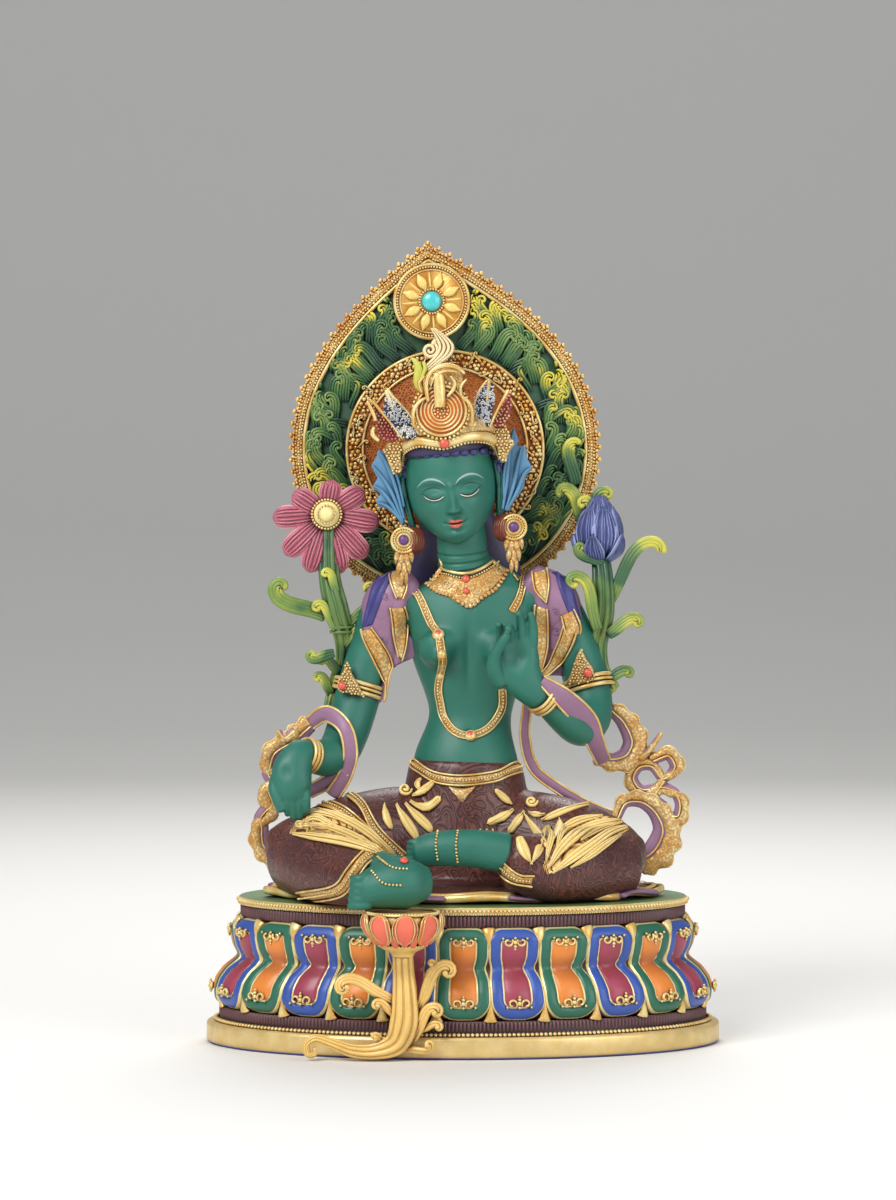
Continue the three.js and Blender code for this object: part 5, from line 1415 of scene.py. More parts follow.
def makeEarrings():
    gold, purple, barrel, beads, tassel = [], [], [], [], []
    proto = bead()
    for x, y, z, side in ((-21.8, -3.4, 131.1, -1), (18.8, -3.4, 135.9, 1)):
        gold.append(limb([[x, y + 1.4, z, 4.6], [x, y - 0.6, z, 4.5], [x, y - 1.3, z, 3.9]], facing=upward, sides=32,
                         rings=6, dome=0.1))
        for radius, wide in ((4.5, 0.5), (3.4, 0.32), (2.3, 0.35)):
            gold.append(hoop(circle([x, y - 1.5, z], radius, 48), front, wide, 0.6))
        beads.append(copies(proto, circle([x, y - 1.6, z], 3.95, 26), front, 0.38))
        purple.append(ball([x, y - 1.5, z], [1.8, 1.1, 1.8]))
        for i in range(5):
            barrel.append(hoop(circle([x - side * (0.9 + i * 0.85), y + 1.4 + i * 1.1, z - 0.3], 4.9 - 0.12 * i, 32,
                                      tilt=side * 50), [side * 0.7, -0.7, 0], 0.62, 0.8))
        for i, (sway, drop, size) in enumerate(((-2.6, -6.2, 1.1), (-0.9, -7.4, 1.3), (1.0, -7.2, 1.3), (2.7, -5.8, 1.1),
                                                (-1.8, -10.4, 1.1), (0.1, -11.6, 1.2), (1.8, -10, 1.0), (-0.8, -14.4, 0.9),
                                                (0.9, -14, 0.8))):
            tassel.append(limb([[x + sway * 0.7, y - 0.2, z + drop + 3, size * 0.7], [x + sway, y - 0.5, z + drop, size],
                                [x + sway * 1.1, y, z + drop - 2.4, 0.3]], sides=10, rings=12))
    together("earring_gilt", gold, giltFine)
    together("earring_tassels", tassel, giltStippled)
    together("earring_beads", beads, giltBeads)
    together("earring_eyes", purple, paint("plumPaint", tone(96, 56, 120), tone(40, 16, 40), 0.4, 1, 0.8))
    together("earring_barrels", barrel, paint("barrelPaint", tone(118, 52, 34), tone(40, 12, 8), 0.4, 1, 1))
    remove(proto)


makeCrown()
makeRibbons()
makeEarrings()
print("crown, hair and earrings made")


# ---------------------------------------------------------------- shawl over the shoulders, and the jewellery
necklace = [(409.7, 587), (420.4, 598), (431, 622), (438.5, 635), (441, 649), (442.5, 661), (441, 674), (439, 689),
            (441, 702), (444.6, 718), (455, 732), (470.7, 736), (488.7, 728), (501, 709), (502, 690)]
necklaceRight = [(526, 560), (524, 580), (520, 596), (512, 611)]


def armBand(centre, axis, radius, wide, tall, count=48, at=onPlate):
    axis = unit(np.array(axis, float))
    first = unit(np.cross(axis, upward + 0.01))
    second = np.cross(axis, first)
    turn = np.linspace(0, 2 * np.pi, count, endpoint=False)[:, None]
    outs = np.cos(turn) * first * radius + np.sin(turn) * second * radius
    return hoop(at(outs + centre), outs, wide, tall)


def makeShawl():
    hidden = [limb(rightArmRows, sides=32), limb(leftArmRows, sides=32)]
    arms = treeOf(*hidden, trunk)
    remove(*hidden)
    caps = [  # the cloth round the shoulders
        limb([[-20, 6, 114.6, 7, 7.4], [-26.6, 6, 109.6, 9, 9.4], [-28.8, 7, 104, 9.2, 9.7], [-29.6, 8, 99, 7.8, 8.4]]),
        limb([[25.4, 6, 115.6, 7, 7.4], [32.6, 6, 110.4, 9, 9.4], [35.2, 7, 104, 9.2, 9.7], [36, 8, 99, 7.8, 8.4]]),
    ]

    def pleats(t, s):
        return 0.35 * np.sin(s * 9 + t * 3)
    lilac = [
        drape(arms, [(378, 568), (366, 590), (361, 626), (372, 652), (384, 680), (389, 706)],
              [(412, 570), (408, 600), (406, 626), (405, 650), (399, 680), (391, 707)], lift=1.5, fold=pleats, passes=8),
        drape(arms, [(533, 570), (534, 600), (535, 630), (535, 652), (537, 668), (540, 681)],
              [(566, 569), (577, 592), (583, 620), (574, 640), (560, 664), (544, 681)], lift=1.5, fold=pleats, passes=8),
    ]
    shawl = together("shawl", lilac + caps, lilacPaint)
    cloth = treeOf(shawl)
    indigo = [drape(cloth, [(386, 567), (373, 584), (366, 608), (361, 629)], [(397, 570), (388, 587), (380, 607), (373, 625)],
                    50, 14, 0.8, pleats),
              drape(cloth, [(553, 566), (557, 583), (563, 601), (568, 612)], [(566, 571), (573, 588), (578, 606), (582, 621)],
                    50, 14, 0.8, pleats)]
    together("shawl_folds", indigo, indigoPaint)
    patches = [  # gold cloth between two lines, each with a raised edge
        ([(360, 630), (368, 648), (379, 668), (387, 688), (389, 705)], [(372, 628), (383, 645), (392, 662), (396, 682), (391, 704)]),
        ([(390, 608), (392, 620), (393, 638), (399, 657)], [(404, 607), (407, 626), (406, 646), (402, 660)]),
        ([(389, 572), (391, 584), (396, 598)], [(405, 572), (407, 586), (402, 599)]),
        ([(533, 573), (535, 589), (545, 602)], [(546, 570), (549, 584), (547, 602)]),
        ([(537, 605), (536, 632), (536, 656), (539, 674)], [(548, 609), (549, 634), (546, 654), (541, 674)]),
        ([(564, 626), (559, 643), (551, 660), (541, 674)], [(575, 633), (568, 650), (559, 665), (543, 680)]),
        ([(561, 616), (564, 625), (566, 634)], [(573, 610), (578, 622), (582, 635)]),
    ]
    together("shawl_leaves", [drape(cloth, first, second, 44, 12, 0.9, sink=0.3) for first, second in patches],
             giltStippled)
    lines = strandsOn(cloth, [row for patch in patches for row in patch], 0.34, 0.6, lift=0.8)
    together("shawl_lines", lines, giltFine)
    swirls = []
    for across, down, size, start in ((382, 640, 5, 0), (396, 670, 4, 2), (556, 630, 5, 1), (554, 652, 4, 3), (386, 596, 4, 1),
                                      (575, 612, 3, 0), (556, 612, 4, 4), (379, 660, 4, 4)):
        turn = start + np.linspace(0, 7.5, 26)
        radius = np.linspace(size, 0.6, 26)
        swirls.append(strand(cloth, np.stack([across + radius * np.cos(turn), down + radius * np.sin(turn)], 1),
                             0.2, 0.3, 0.1, count=40, sides=6))
    together("shawl_swirls", swirls, lilacPaint)


def makeJewellery():
    collar = drape(trunkSurface, [(425, 564), (446, 573), (467, 577), (487, 570), (503, 556)],
                   [(428, 588), (446, 596), (469, 607), (490, 592), (507, 573)], 90, 16, 0.9, sink=0.3,
                   fold=lambda t, s: -0.5 * (s > 0.86) * (np.sin(t * 60) > 0))
    plates = [collar]
    edges = [strand(trunkSurface, [(424, 561), (446, 570), (467, 574), (487, 566), (503, 553)], 0.65, 0.7, 0.7)]
    lobes = through([(427, 586), (438, 593), (452, 598), (469, 608), (484, 598), (498, 588), (507, 573)], 26)
    plates += [gem(trunkSurface, row[0], row[1] - 1.5, 0.85, 0.5) for row in lobes]
    beads = [beadRow(trunkSurface, [(425, 566), (446, 575), (467, 579), (487, 571), (504, 558)], 1.1, 0.42, 1.2)]
    swirls = []
    for across, down in ((434, 578), (447, 585), (459, 591), (476, 591), (488, 583), (499, 572)):
        turn = np.linspace(0, 7, 22)
        radius = np.linspace(5, 0.8, 22)
        swirls.append(strand(trunkSurface, np.stack([across + radius * np.cos(turn), down + radius * np.sin(turn)], 1),
                             0.22, 0.35, 1.0, count=36, sides=6))
    for row in (necklace, necklaceRight):
        flat = [(*point, 3.6) for point in row]
        plates.append(strand(bodySurface, flat, 1, 0.55, 0.15))
        for side in (-3.2, 3.2):
            line = np.array(through(row, 60))
            way = unit(np.gradient(line, axis=0))
            edges.append(strand(bodySurface, line + np.stack([-way[:, 1], way[:, 0]], 1) * side, 0.3, 0.4, 0.45, count=120))
        beads.append(beadRow(bodySurface, row, 1.25, 0.5, 0.8))
    gems = [gem(trunkSurface, 466, 580, 1.5, 1.1), gem(trunkSurface, 466.6, 592, 1.2, 1.1),
            gem(bodySurface, 438.5, 635, 1.6, 0.9), gem(bodySurface, 470.7, 736, 1.6, 0.9)]
    mounts = [gem(bodySurface, 438.5, 635, 2.3, 0.3), gem(bodySurface, 470.7, 736, 2.3, 0.3),
              gem(bodySurface, 442, 655, 1.8, 0.3), gem(bodySurface, 441, 676, 1.5, 0.3)]
    for centre, axis, radius in (([-38.4, 6.6, 76], [0.28, 0.1, 1], 9.3), ([46.3, 5, 77.4], [-0.25, 0.2, 1], 9.4)):
        for step, wide in ((-1.7, 0.8), (0, 0.6), (1.5, 0.8)):
            edges.append(armBand(np.array(centre) + np.array(axis) * step, axis, radius, wide, 0.8))
    for centre, axis, radius in (([-57, -14.2, 52], [-3, -2.8, 1.2], 6.1), ([29.6, -18.8, 73.4], [-2.4, -1.7, 2], 6.1)):
        for step, wide in ((-1.6, 0.6), (0, 0.9), (1.6, 0.6)):
            edges.append(armBand(np.array(centre) + unit(np.array(axis)) * step, axis, radius, wide, 0.7))
    for outline in ([(581, 648), (577, 656), (572, 672), (566, 684), (582, 684), (596, 679), (593, 668), (587, 660)],
                    [(347, 660), (343, 672), (337, 684), (338, 691), (352, 694), (364, 697), (358, 684), (352, 674)]):
        shape = drawn(outline, -5)
        plates.append(plate(shape, -5, 3, edge=0.8))
        proto = bead()
        beads.append(copies(proto, onPlate([[a, -5.2, b] for a, b in strewn(shape, 1.2, 7)]), front, 0.5))
        remove(proto)
    gems += [gem(-5.4, 588, 673, 1.7), gem(-5.4, 342, 686, 1.5), gem(-22.6, 550, 691, 1.3), gem(-24.6, 501.4, 633.4, 1.6,
                                                                                           tall=1.9)]
    together("jewel_plates", plates, giltStippled)
    together("jewel_mounts", mounts + swirls, giltFine)
    together("jewel_edges", edges, giltFine)
    together("jewel_beads", beads, giltBeads)
    together("jewel_gems", gems, coralPaint)


makeShawl()
makeJewellery()
print("shawl and jewellery made")


# ---------------------------------------------------------------- robe ornaments
robeGold = {
    "panels": [  # cream gold cloth with flowing folds, between two lines of the picture
        ([(300, 814), (320, 808), (343, 815), (364, 829), (384, 846), (398, 862)],
         [(288, 834), (308, 841), (332, 843), (356, 842), (378, 852), (394, 863)]),
        ([(542, 868), (550, 850), (562, 834), (580, 821), (604, 816), (632, 822)],
         [(548, 876), (566, 867), (586, 857), (604, 847), (618, 838), (634, 828)]),
    ],
    "bands": [  # granulated bands between two lines
        ([(314, 798), (343, 808), (368, 828), (394, 852)], [(312, 804), (341, 815), (366, 836), (390, 858)]),
        ([(347, 790), (364, 804), (379, 829), (408, 856)], [(345, 796), (360, 809), (373, 834), (402, 861)]),
        ([(391, 846), (366, 850), (348, 870), (334, 886), (298, 892)], [(388, 858), (369, 862), (356, 880), (342, 896), (300, 902)]),
        ([(480, 830), (488, 856), (508, 880), (532, 886)], [(492, 830), (500, 856), (518, 874), (534, 876)]),
        ([(408, 756), (422, 765), (437, 773), (463, 776), (494, 772), (508, 766), (525, 761)],
         [(409, 765), (422, 774), (437, 783), (463, 786), (494, 782), (508, 776), (524, 771)]),
        ([(447, 785), (462, 788), (477, 785)], [(454, 794), (462, 803), (470, 794)]),
    ],
    "leaves": [
        [(412.5, 797, 1), (421, 794, 4), (430, 786, 4), (433, 783, 3)], [(410, 803, 1), (424, 811, 5), (435, 803, 4), (438, 800, 4)],
        [(405, 805, 1), (417, 817, 5), (427, 826, 5), (429, 829, 4)], [(396, 806, 1), (405, 821, 5), (413, 832, 5), (415, 836, 4)],
        [(384, 806, 1), (384, 817, 4), (388, 823, 4), (390, 827, 3)], [(421, 790, 1), (416, 785, 3), (421, 780, 2)],
        [(512, 805, 1), (506, 801, 4), (500, 795, 4), (497, 792, 3)], [(514, 811, 1), (504, 818, 5), (495, 820, 4), (491, 822, 4)],
        [(525, 813, 1), (519, 820, 5), (515, 826, 4), (512, 830, 4)], [(530, 814, 1), (537, 816.5, 4), (545, 816, 1)],
        [(588, 806, 1), (568, 810, 4), (550, 818, 4), (543, 821, 1)], [(520, 840, 4), (522, 850, 6), (528, 858, 4), (532, 864, 1)],
        [(548, 828, 4), (544, 840, 6), (538, 854, 4), (531, 864, 1)], [(560, 820, 1), (563, 829, 5), (557, 838, 4), (553, 842, 1)],
        [(525, 815, 0.8), (533, 827, 3.4), (541, 838, 4.6), (546, 846, 3)]],
    "flows": [  # long ridges that follow the folds
        [(398, 861, 1), (380, 843, 3.6), (358, 827, 4.6), (336, 817, 3.4), (318, 811, 1)],
        [(392, 862, 1), (370, 846, 3.8), (346, 834, 4.6), (324, 828, 3.6), (304, 828, 1.4)],
        [(384, 858, 1), (362, 849, 3.2), (338, 843, 4), (314, 839, 3.2), (294, 836, 1)],
        [(350, 837, 0.8), (334, 828, 3), (316, 819, 3.2), (306, 824, 2), (312, 830, 0.8)],
        [(342, 822, 0.8), (328, 817, 2.4), (312, 815, 2.6), (302, 818, 0.8)],
        [(548, 868, 1), (560, 850, 4.6), (577, 836, 5.4), (598, 826, 4.6), (630, 822, 1)],
        [(552, 873, 1), (571, 859, 4.6), (591, 846, 4.8), (611, 834, 3.6), (632, 827, 1)],
        [(556, 850, 1), (562, 834, 3.6), (577, 823, 4.4), (602, 818, 1.2)],
        [(570, 868, 1), (590, 856, 3.4), (606, 845, 3.2), (620, 837, 1)],
        [(546, 862, 0.8), (549, 846, 3.2), (552, 836, 3), (547, 828, 1.2)],
        [(580, 842, 0.8), (596, 834, 2.4), (612, 828, 2), (622, 824, 0.6)]],
    "volutes": [(405, 791, 7), (532, 803, 6), (300, 826, 5)],
}


def rounded(row):  # a drawn leaf closed by a round end
    row = np.array(row, float)
    way, wide = unit(row[-1, :2] - row[-2, :2]), row[-1, 2]
    return np.vstack([row] + [[*(row[-1, :2] + way * wide * part), wide * math.sqrt(1 - part ** 2)] for part in (0.5, 0.8, 0.97)])


def makeRobeOrnaments():
    def folds(t, s):
        return 0.4 * np.sin(s * 16 + 3 * np.sin(t * 5)) + 0.2 * np.sin(s * 31 + t * 6)
    panels = [drape(robeSurface, first, second, 70, 26, 0.7, folds, sink=0.4) for first, second in robeGold["panels"]]
    together("robe_gold_panels", panels, flowPaint("robeFlow", tone(226, 192, 116), tone(186, 128, 56), tone(88, 36, 24), 70))
    bands = [drape(robeSurface, first, second, 80, 8, 0.9, sink=0.4) for first, second in robeGold["bands"]]
    edges, beads = [], []
    for first, second in robeGold["bands"][:5]:
        edges += strandsOn(robeSurface, [first, second], 0.4, 0.5, lift=0.9)
        middle = (through(first, 9) + through(second, 9)) / 2
        beads.append(beadRow(robeSurface, middle, 1.15, 0.45, 1.2))
    drops = [rounded(row) for row in robeGold["leaves"]]
    leaves = strandsOn(robeSurface, drops, 1, 1.0, lift=0.5, sides=10)
    leaves += strandsOn(robeSurface, [row[:-2, :2] for row in drops], 0.22, 0.35, lift=1.45)
    leaves += flutedLeaves(robeSurface, robeGold["flows"], 0.9, 0.9)
    for across, down, size in robeGold["volutes"]:
        turn = np.linspace(0, 8.5, 30)
        radius = np.linspace(size, 1.2, 30)
        rows = np.stack([across + radius * np.cos(turn), down + 0.8 * radius * np.sin(turn), np.linspace(1.2, 2.4, 30)], 1)
        leaves.append(strand(robeSurface, rows, 1, 1.0, 0.5, count=44, sides=8))
    # the cloth's edge on the plinth: brown, gold and lilac in turn
    turn = np.linspace(0, 2 * np.pi, 300, endpoint=False)
    ripple = 1 + 0.025 * np.sin(9 * turn + 1) + 0.012 * np.sin(17 * turn)
    outs = np.stack([38 * np.sin(turn), -72 * np.cos(turn), 0 * turn], 1)
    for reach, level, wide in ((0.995, 2.0, 1.5), (0.955, 3.2, 0.8)):
        rim = np.stack([72 * reach * ripple * np.sin(turn), -3 - 38 * reach * ripple * np.cos(turn),
                        level + 0.5 * np.sin(13 * turn)], 1)
        edges.append(hoop(onPlate(rim), outs, wide, 0.9, 8))
    lilac = []
    for first, last in ((0.24, 0.62), (0.9, 1.3), (-0.35, -0.1), (-0.95, -0.6), (1.75, 2.2), (-2.3, -1.8), (2.8, 3.4)):
        steps = np.linspace(first, last, 26)
        wave = 1 + 0.025 * np.sin(9 * steps + 1) + 0.012 * np.sin(17 * steps)
        row = np.stack([72.4 * wave * np.sin(steps), -3 - 38.4 * wave * np.cos(steps), 2.2 + 0.5 * np.sin(13 * steps)], 1)
        lilac.append(sweep(onPlate(row), upward, 2.6, 1.1, 10, 0.8))
    together("robe_lilac_hem", lilac, lilacPaint)
    together("robe_gilt_leaves", leaves, paint("leafGold", tone(236, 206, 128), tone(128, 66, 26), 0.4, 1.4, 1.0, 0.16, coat=0.4))
    together("robe_bands", bands, giltStippled)
    together("robe_edges", edges, giltFine)
    # chains round both ankles
    for row in ([(438, 832), (436, 845), (438, 862)], [(458, 832), (456, 846), (458, 864)]):
        beads.append(beadRow(treeOf(lyingFoot), row, 1.3, 0.5, 0.3))
    for row in ([(378, 858), (392, 868), (410, 870)], [(372, 872), (384, 884), (404, 886)]):
        beads.append(beadRow(treeOf(standingFoot), row, 1.3, 0.5, 0.3))
    together("robe_beads", beads, giltBeads)
    together("anklet_gem", [gem(treeOf(standingFoot), 404, 862, 1.5, 0.5)], coralPaint)


makeRobeOrnaments()
print("robe ornaments made")


# ---------------------------------------------------------------- back plate
aureole = {"half": 58.0, "rise": 77.8, "halo": 37.5, "medallion": 55.8, "medallionHalf": 14.2, "stone": 3.7,
           "nubs": 84, "pitch": 5.7}


def archOutline(inset, count):
    side = aureole["half"] - inset
    apex = aureole["rise"] - inset * 1.3
    t = np.linspace(0, 1, 400)[:, None]
    ends = np.array([[side, 0], [side, apex * 0.42], [side * 0.57, apex * 0.73], [0, apex]])
    right = ((1 - t) ** 3 * ends[0] + 3 * (1 - t) ** 2 * t * ends[1] + 3 * (1 - t) * t ** 2 * ends[2] + t ** 3 * ends[3])
    turn = np.linspace(np.pi, 2 * np.pi, 600)
    bowl = np.stack([side * np.cos(turn), side * np.sin(turn)], 1)
    rows = np.vstack([right, (right * (-1, 1))[::-1][1:], bowl[1:]])
    steps = np.concatenate([[0], np.cumsum(np.linalg.norm(np.diff(rows, axis=0), axis=1))])
    wanted = np.linspace(0, steps[-1], count, endpoint=False)
    return np.stack([np.interp(wanted, steps, rows[:, i]) for i in range(2)], 1)


def onFace(points, y=0.0):  # a drawing of (x, z) on the back plate
    points = np.array(points, float)
    return onHalo(np.stack([points[:, 0], y + 0 * points[:, 0], points[:, 1]], 1))


def ringOn(centre, radius, count, y):
    turn = np.linspace(0, 2 * np.pi, count, endpoint=False)
    return onFace(np.stack([centre[0] + radius * np.cos(turn), centre[1] + radius * np.sin(turn)], 1), y)


# A spray of ridges that run side by side and curl over at the end
def spray(base, heading, length, curl, lanes=4, gap=1.0, wide=0.66, tall=0.85, at=onFace, y=0.0, keep=None, rise=0.6):
    made = []
    out = unit((at([[0, 0]], -1.0) - at([[0, 0]], 0.0))[0])
    line = sprayLine(base, heading, length, curl)
    s = np.linspace(0, 1, len(line))
    step = np.gradient(line, axis=0)
    turn = np.unwrap(np.arctan2(step[:, 1], step[:, 0]))
    bend = np.gradient(turn) * np.sign(curl)
    radius = np.hypot(*step.T) / np.maximum(np.abs(bend), 1e-4)
    inward = np.stack([-np.sin(turn), np.cos(turn)], 1) * np.sign(curl)
    for lane in range(lanes):  # the inner ridges end inside the curl of the outer one
        away = gap * (lane - (lanes - 1) / 2 * (1 - s ** 2))
        row = line + inward * away[:, None]
        tight = (bend > 0) & (radius < away + 0.5) & (s > 0.3)
        if lane and tight.any():
            row = row[:int(tight.argmax())]
        if keep is not None:
            kept = keep(row)
            row = row[:int(kept.argmin())] if not kept.all() else row
        if len(row) < 6:
            continue
        share = s[:len(row)] / s[len(row) - 1]
        widths = wide * np.interp(share, [0, 0.3, 0.85, 1], [0.7, 1.1, 0.85, 1.15 if lane == 0 else 0.4])
        made.append(sweep(at(row, y - rise * share), out, widths, tall * np.interp(share, [0, 0.3, 1], [0.5, 1, 1.1]),
                          6, 0.9, 2))
    return made


def makeFoliage():
    dice = random.Random(11)
    border = archOutline(5.4, 160)

    def keep(row):
        x, z = row[:, 0], row[:, 1]
        return inside(border, x, z) & (np.hypot(x, z) > 37.6) & (np.hypot(x, z - aureole["medallion"]) > 14.8)
    made = []
    turns = np.radians(np.arange(-66, 88, 9.5))
    rooted = np.stack([np.cos(turns), np.sin(turns)], 1) * 38.4  # the first row grows from the halo's edge
    for x, z in np.vstack([rooted, strewn(border, aureole["pitch"], 5)]):
        if x < 1 or z < -52 or not keep(np.array([[x, z]]))[0]:
            continue
        outward, length = math.atan2(z, x), dice.uniform(15, 19)
        for _ in range(14):  # turned and shortened until the whole curl stays on the plate
            curl = dice.choice((-1, 1))
            heading = outward * 0.45 + math.pi * 0.3 + dice.uniform(-0.8, 0.8)
            if keep(sprayLine((x, z), heading, length, curl)).all():
                break
            length *= 0.94
        lanes, y = dice.choice((3, 4, 4)), dice.uniform(-0.5, 0.3)
        for side in (1, -1):
            facing = heading if side > 0 else math.pi - heading
            made += spray((side * x, z), facing, length, curl * side, lanes, y=y, keep=keep, rise=1.5)
    return together("aureole_scrolls", made, alongPaint("foliagePaint", tone(24, 66, 46), tone(64, 106, 56), tone(122, 150, 80),
                                                        tone(8, 30, 22), 0.9, tone(212, 198, 70)))


def makeAureole():
    out = facingOf(onHalo)
    field = together("aureole_field", [plate(archOutline(2.2, 220), 0.9, 4.0, onHalo, 0.5)],
                     paint("aureoleField", tone(28, 74, 48), tone(8, 26, 18), 0.5, 2, 0.9, 0.25))
    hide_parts("aureole")
    makeFoliage()
    dice = np.random.default_rng(8)
    proto = bead()
    smooth = [hoop(onFace(archOutline(4.9, 240), -0.5), out, 0.75, 0.8)]
    rough = [hoop(onFace(archOutline(2.6, 240), 0.4), out, 2.0, 1.0)]
    beads, amber = [], []
    for inset, pitch, size in ((3.7, 1.15, 0.5), (2.7, 1.2, 0.55), (1.7, 1.25, 0.6), (0.8, 1.4, 0.6)):
        count = int(372 / pitch)
        row = archOutline(inset, count)
        (beads if inset > 2 else amber).append(copies(proto, onFace(row + dice.normal(0, 0.12, row.shape), -0.5), out,
                                                      size * dice.uniform(0.75, 1.25, count)))
    nubs = archOutline(0.1, aureole["nubs"])
    way = unit(np.roll(nubs, -1, 0) - np.roll(nubs, 1, 0))
    for shift, inset, size in ((-1.15, 0.5, 0.85), (1.15, 0.5, 0.85), (0, -0.5, 0.95)):
        normal = np.stack([way[:, 1], -way[:, 0]], 1)
        amber.append(copies(proto, onFace(nubs + way * shift - normal * inset, -0.1), out, size))
    # halo
    copper = [limb([[0, 3, 0, 37.2], [0, -1.1, 0, 37.2], [0, -1.3, 0, 36.8]], at=onHalo, facing=upward, sides=96, rings=6,
                   dome=0.02)]
    together("halo_field", copper, paint("haloGround", tone(184, 112, 50), tone(150, 80, 32), 0.45, 1.0, 1.0, 0.25))
    for radius, wide in ((37.0, 0.6), (31.0, 0.5)):
        smooth.append(hoop(ringOn((0, 0), radius, 128, -1.6), out, wide, 0.7))
    disc = [(36.4 * math.cos(a), 36.4 * math.sin(a)) for a in np.linspace(0, 6.28, 90)]
    spots = strewn(disc, 1.7, 12)
    spots = spots[np.hypot(*spots.T) > 31.8]
    pale = dice.random(len(spots)) < 0.36
    for some, bucket in ((spots[pale], beads), (spots[~pale], amber)):
        bucket.append(copies(proto, onFace(some, -1.6), out, dice.uniform(0.6, 1.1, len(some))))
    curls = strewn(disc, 4.6, 13)
    for spot in curls[(np.hypot(*curls.T) > 32.6) & (np.hypot(*curls.T) < 35.6)]:
        smooth.append(spray(spot, dice.uniform(0, 6.28), 6.4, dice.choice((-1, 1)), 1, wide=0.36, y=-2.1)[0])
    spots = strewn(disc, 1.15, 14)
    spots = spots[(np.hypot(*spots.T) < 30.6) & (np.hypot(*spots.T) > 13)]
    grain = bead(5, 4)
    together("halo_grains", [copies(grain, onFace(spots, -1.35), out, dice.uniform(0.3, 0.48, len(spots)))],
             gilt("copperGrains", tone(150, 74, 38), tone(190, 110, 60), tone(80, 30, 14)))
    remove(grain)
    # medallion
    centre = (0, aureole["medallion"])
    rise = aureole["medallion"]
    smooth.append(hoop(ringOn(centre, 13.9, 96, -2.4), out, 0.7, 1.4))
    smooth.append(hoop(ringOn(centre, 11.9, 96, -2.8), out, 0.3, 0.5))
    for radius, size, count in ((13.0, 0.5, 76), (aureole["stone"] + 0.9, 0.5, 28)):
        beads.append(copies(proto, ringOn(centre, radius, count, -3.2), out, size))
    ground = limb([[0, 2, rise, 14.2], [0, -2.4, rise, 14.2], [0, -2.8, rise, 13.6]], at=onHalo, facing=upward, sides=64,
                  rings=6, dome=0.02)
    together("medallion_ground", [ground], gilt("medallionGold", tone(214, 150, 56), tone(232, 188, 96), tone(150, 84, 30),
                                                2, 1, 0.3, 500))
    petals = []
    for i in range(8):
        turn = (i + 0.5) * np.pi / 4
        way = np.array([np.cos(turn), 0, np.sin(turn)])
        rows = [[*(np.array([0, -3.0 + back, rise]) + way * reach), wide, 0.7] for reach, back, wide in
                ((5.2, 0.2, 0.7), (6.8, -0.5, 1.6), (8.6, -0.6, 1.7), (10.2, -0.1, 0.9), (11.4, 0.3, 0.2))]
        petals.append(limb(rows, at=onHalo, sides=12, rings=18, dome=0.3))
        spread_ = turn + np.pi / 8
        side = np.array([np.cos(spread_), 0, np.sin(spread_)])
        petals.append(limb([[*(np.array([0, -2.7, rise]) + side * reach), wide, 0.3] for reach, wide in
                            ((5.4, 0.25), (8, 0.5), (11, 0.25))], at=onHalo, sides=8, rings=10))
    together("medallion_petals", petals, paint("petalGold", tone(232, 200, 110), tone(160, 92, 36), 0.4, 1, 0.9, 0.1, coat=0.4))
    size = aureole["stone"]
    stone = together("stone", [ball([0, -2.8, rise], [size, 1.7, size], at=onHalo)],
                     paint("turquoisePaint", tone(72, 196, 198), tone(30, 110, 120), 0.22, 1, 0.4, 0.1, coat=0.6))
    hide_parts("medallion_stone")
    # finial between crown and medallion
    turn = np.linspace(-0.6, 9.4, 40)
    curl = np.stack([430.2 + np.linspace(8, 1.6, 40) * np.cos(turn), 350.4 + np.linspace(8, 1.6, 40) * np.sin(turn),
                     np.linspace(2.4, 1.6, 40)], 1)
    flutes = [strand(26, curl, 1, 1.6, count=60)]
    for shift, half in ((-4, 1.6), (-0.8, 1.8), (2.6, 1.8), (5.6, 1.4)):
        flutes.append(strand(26, [(424 + shift * 0.8, 372, 1), (433 + shift, 364, half), (442 + shift * 1.3, 356, half + 0.6),
                                  (446 + shift * 1.3, 347, half + 0.6), (441 + shift, 338, half), (433 + shift * 0.4, 329, 0.8)],
                             1, 1.8, 0.3, sides=10))
    flutes.append(limb([[-9.8, 26.6, 202, 2.4, 4.6], [-9.8, 34, 202, 2.8, 5.4]], facing=upward, sides=16, dome=0.2))
    together("aureole_finial", flutes, paint("finialGold", tone(240, 222, 172), tone(150, 92, 44), 0.42, 1.2, 1, 0.12, coat=0.3))
    together("aureole_post", [limb([[0, -2.6, -66, 7.6, 5], [0, -2.6, -44, 8.6, 5]], at=onHalo, sides=24, dome=0.1)], indigoPaint)
    together("back_boss", [limb([[1, 9, 106, 9, 9], [1, 25.8, 106, 9, 9]], facing=upward, sides=32, dome=0.05)], indigoPaint)
    together("aureole_border", rough, amberBeads)
    together("aureole_lines", smooth, giltFine)
    together("aureole_beads", beads, giltBeads)
    together("aureole_amber_beads", amber, amberBeads)
    remove(proto)


makeAureole()
print("back plate made")


# ---------------------------------------------------------------- flowers on their stems
petalTurns = [(13, 22), (42, 21), (80, 19), (122, 15.5), (170, 12), (238, 14), (274, 19.5), (314, 21), (343, 22)]


def standing(points, y=0.0):  # a drawing of (x, z) at a depth of the figure
    points = np.array(points, float)
    return onPlate(np.stack([points[:, 0], y + 0 * points[:, 0], points[:, 1]], 1))


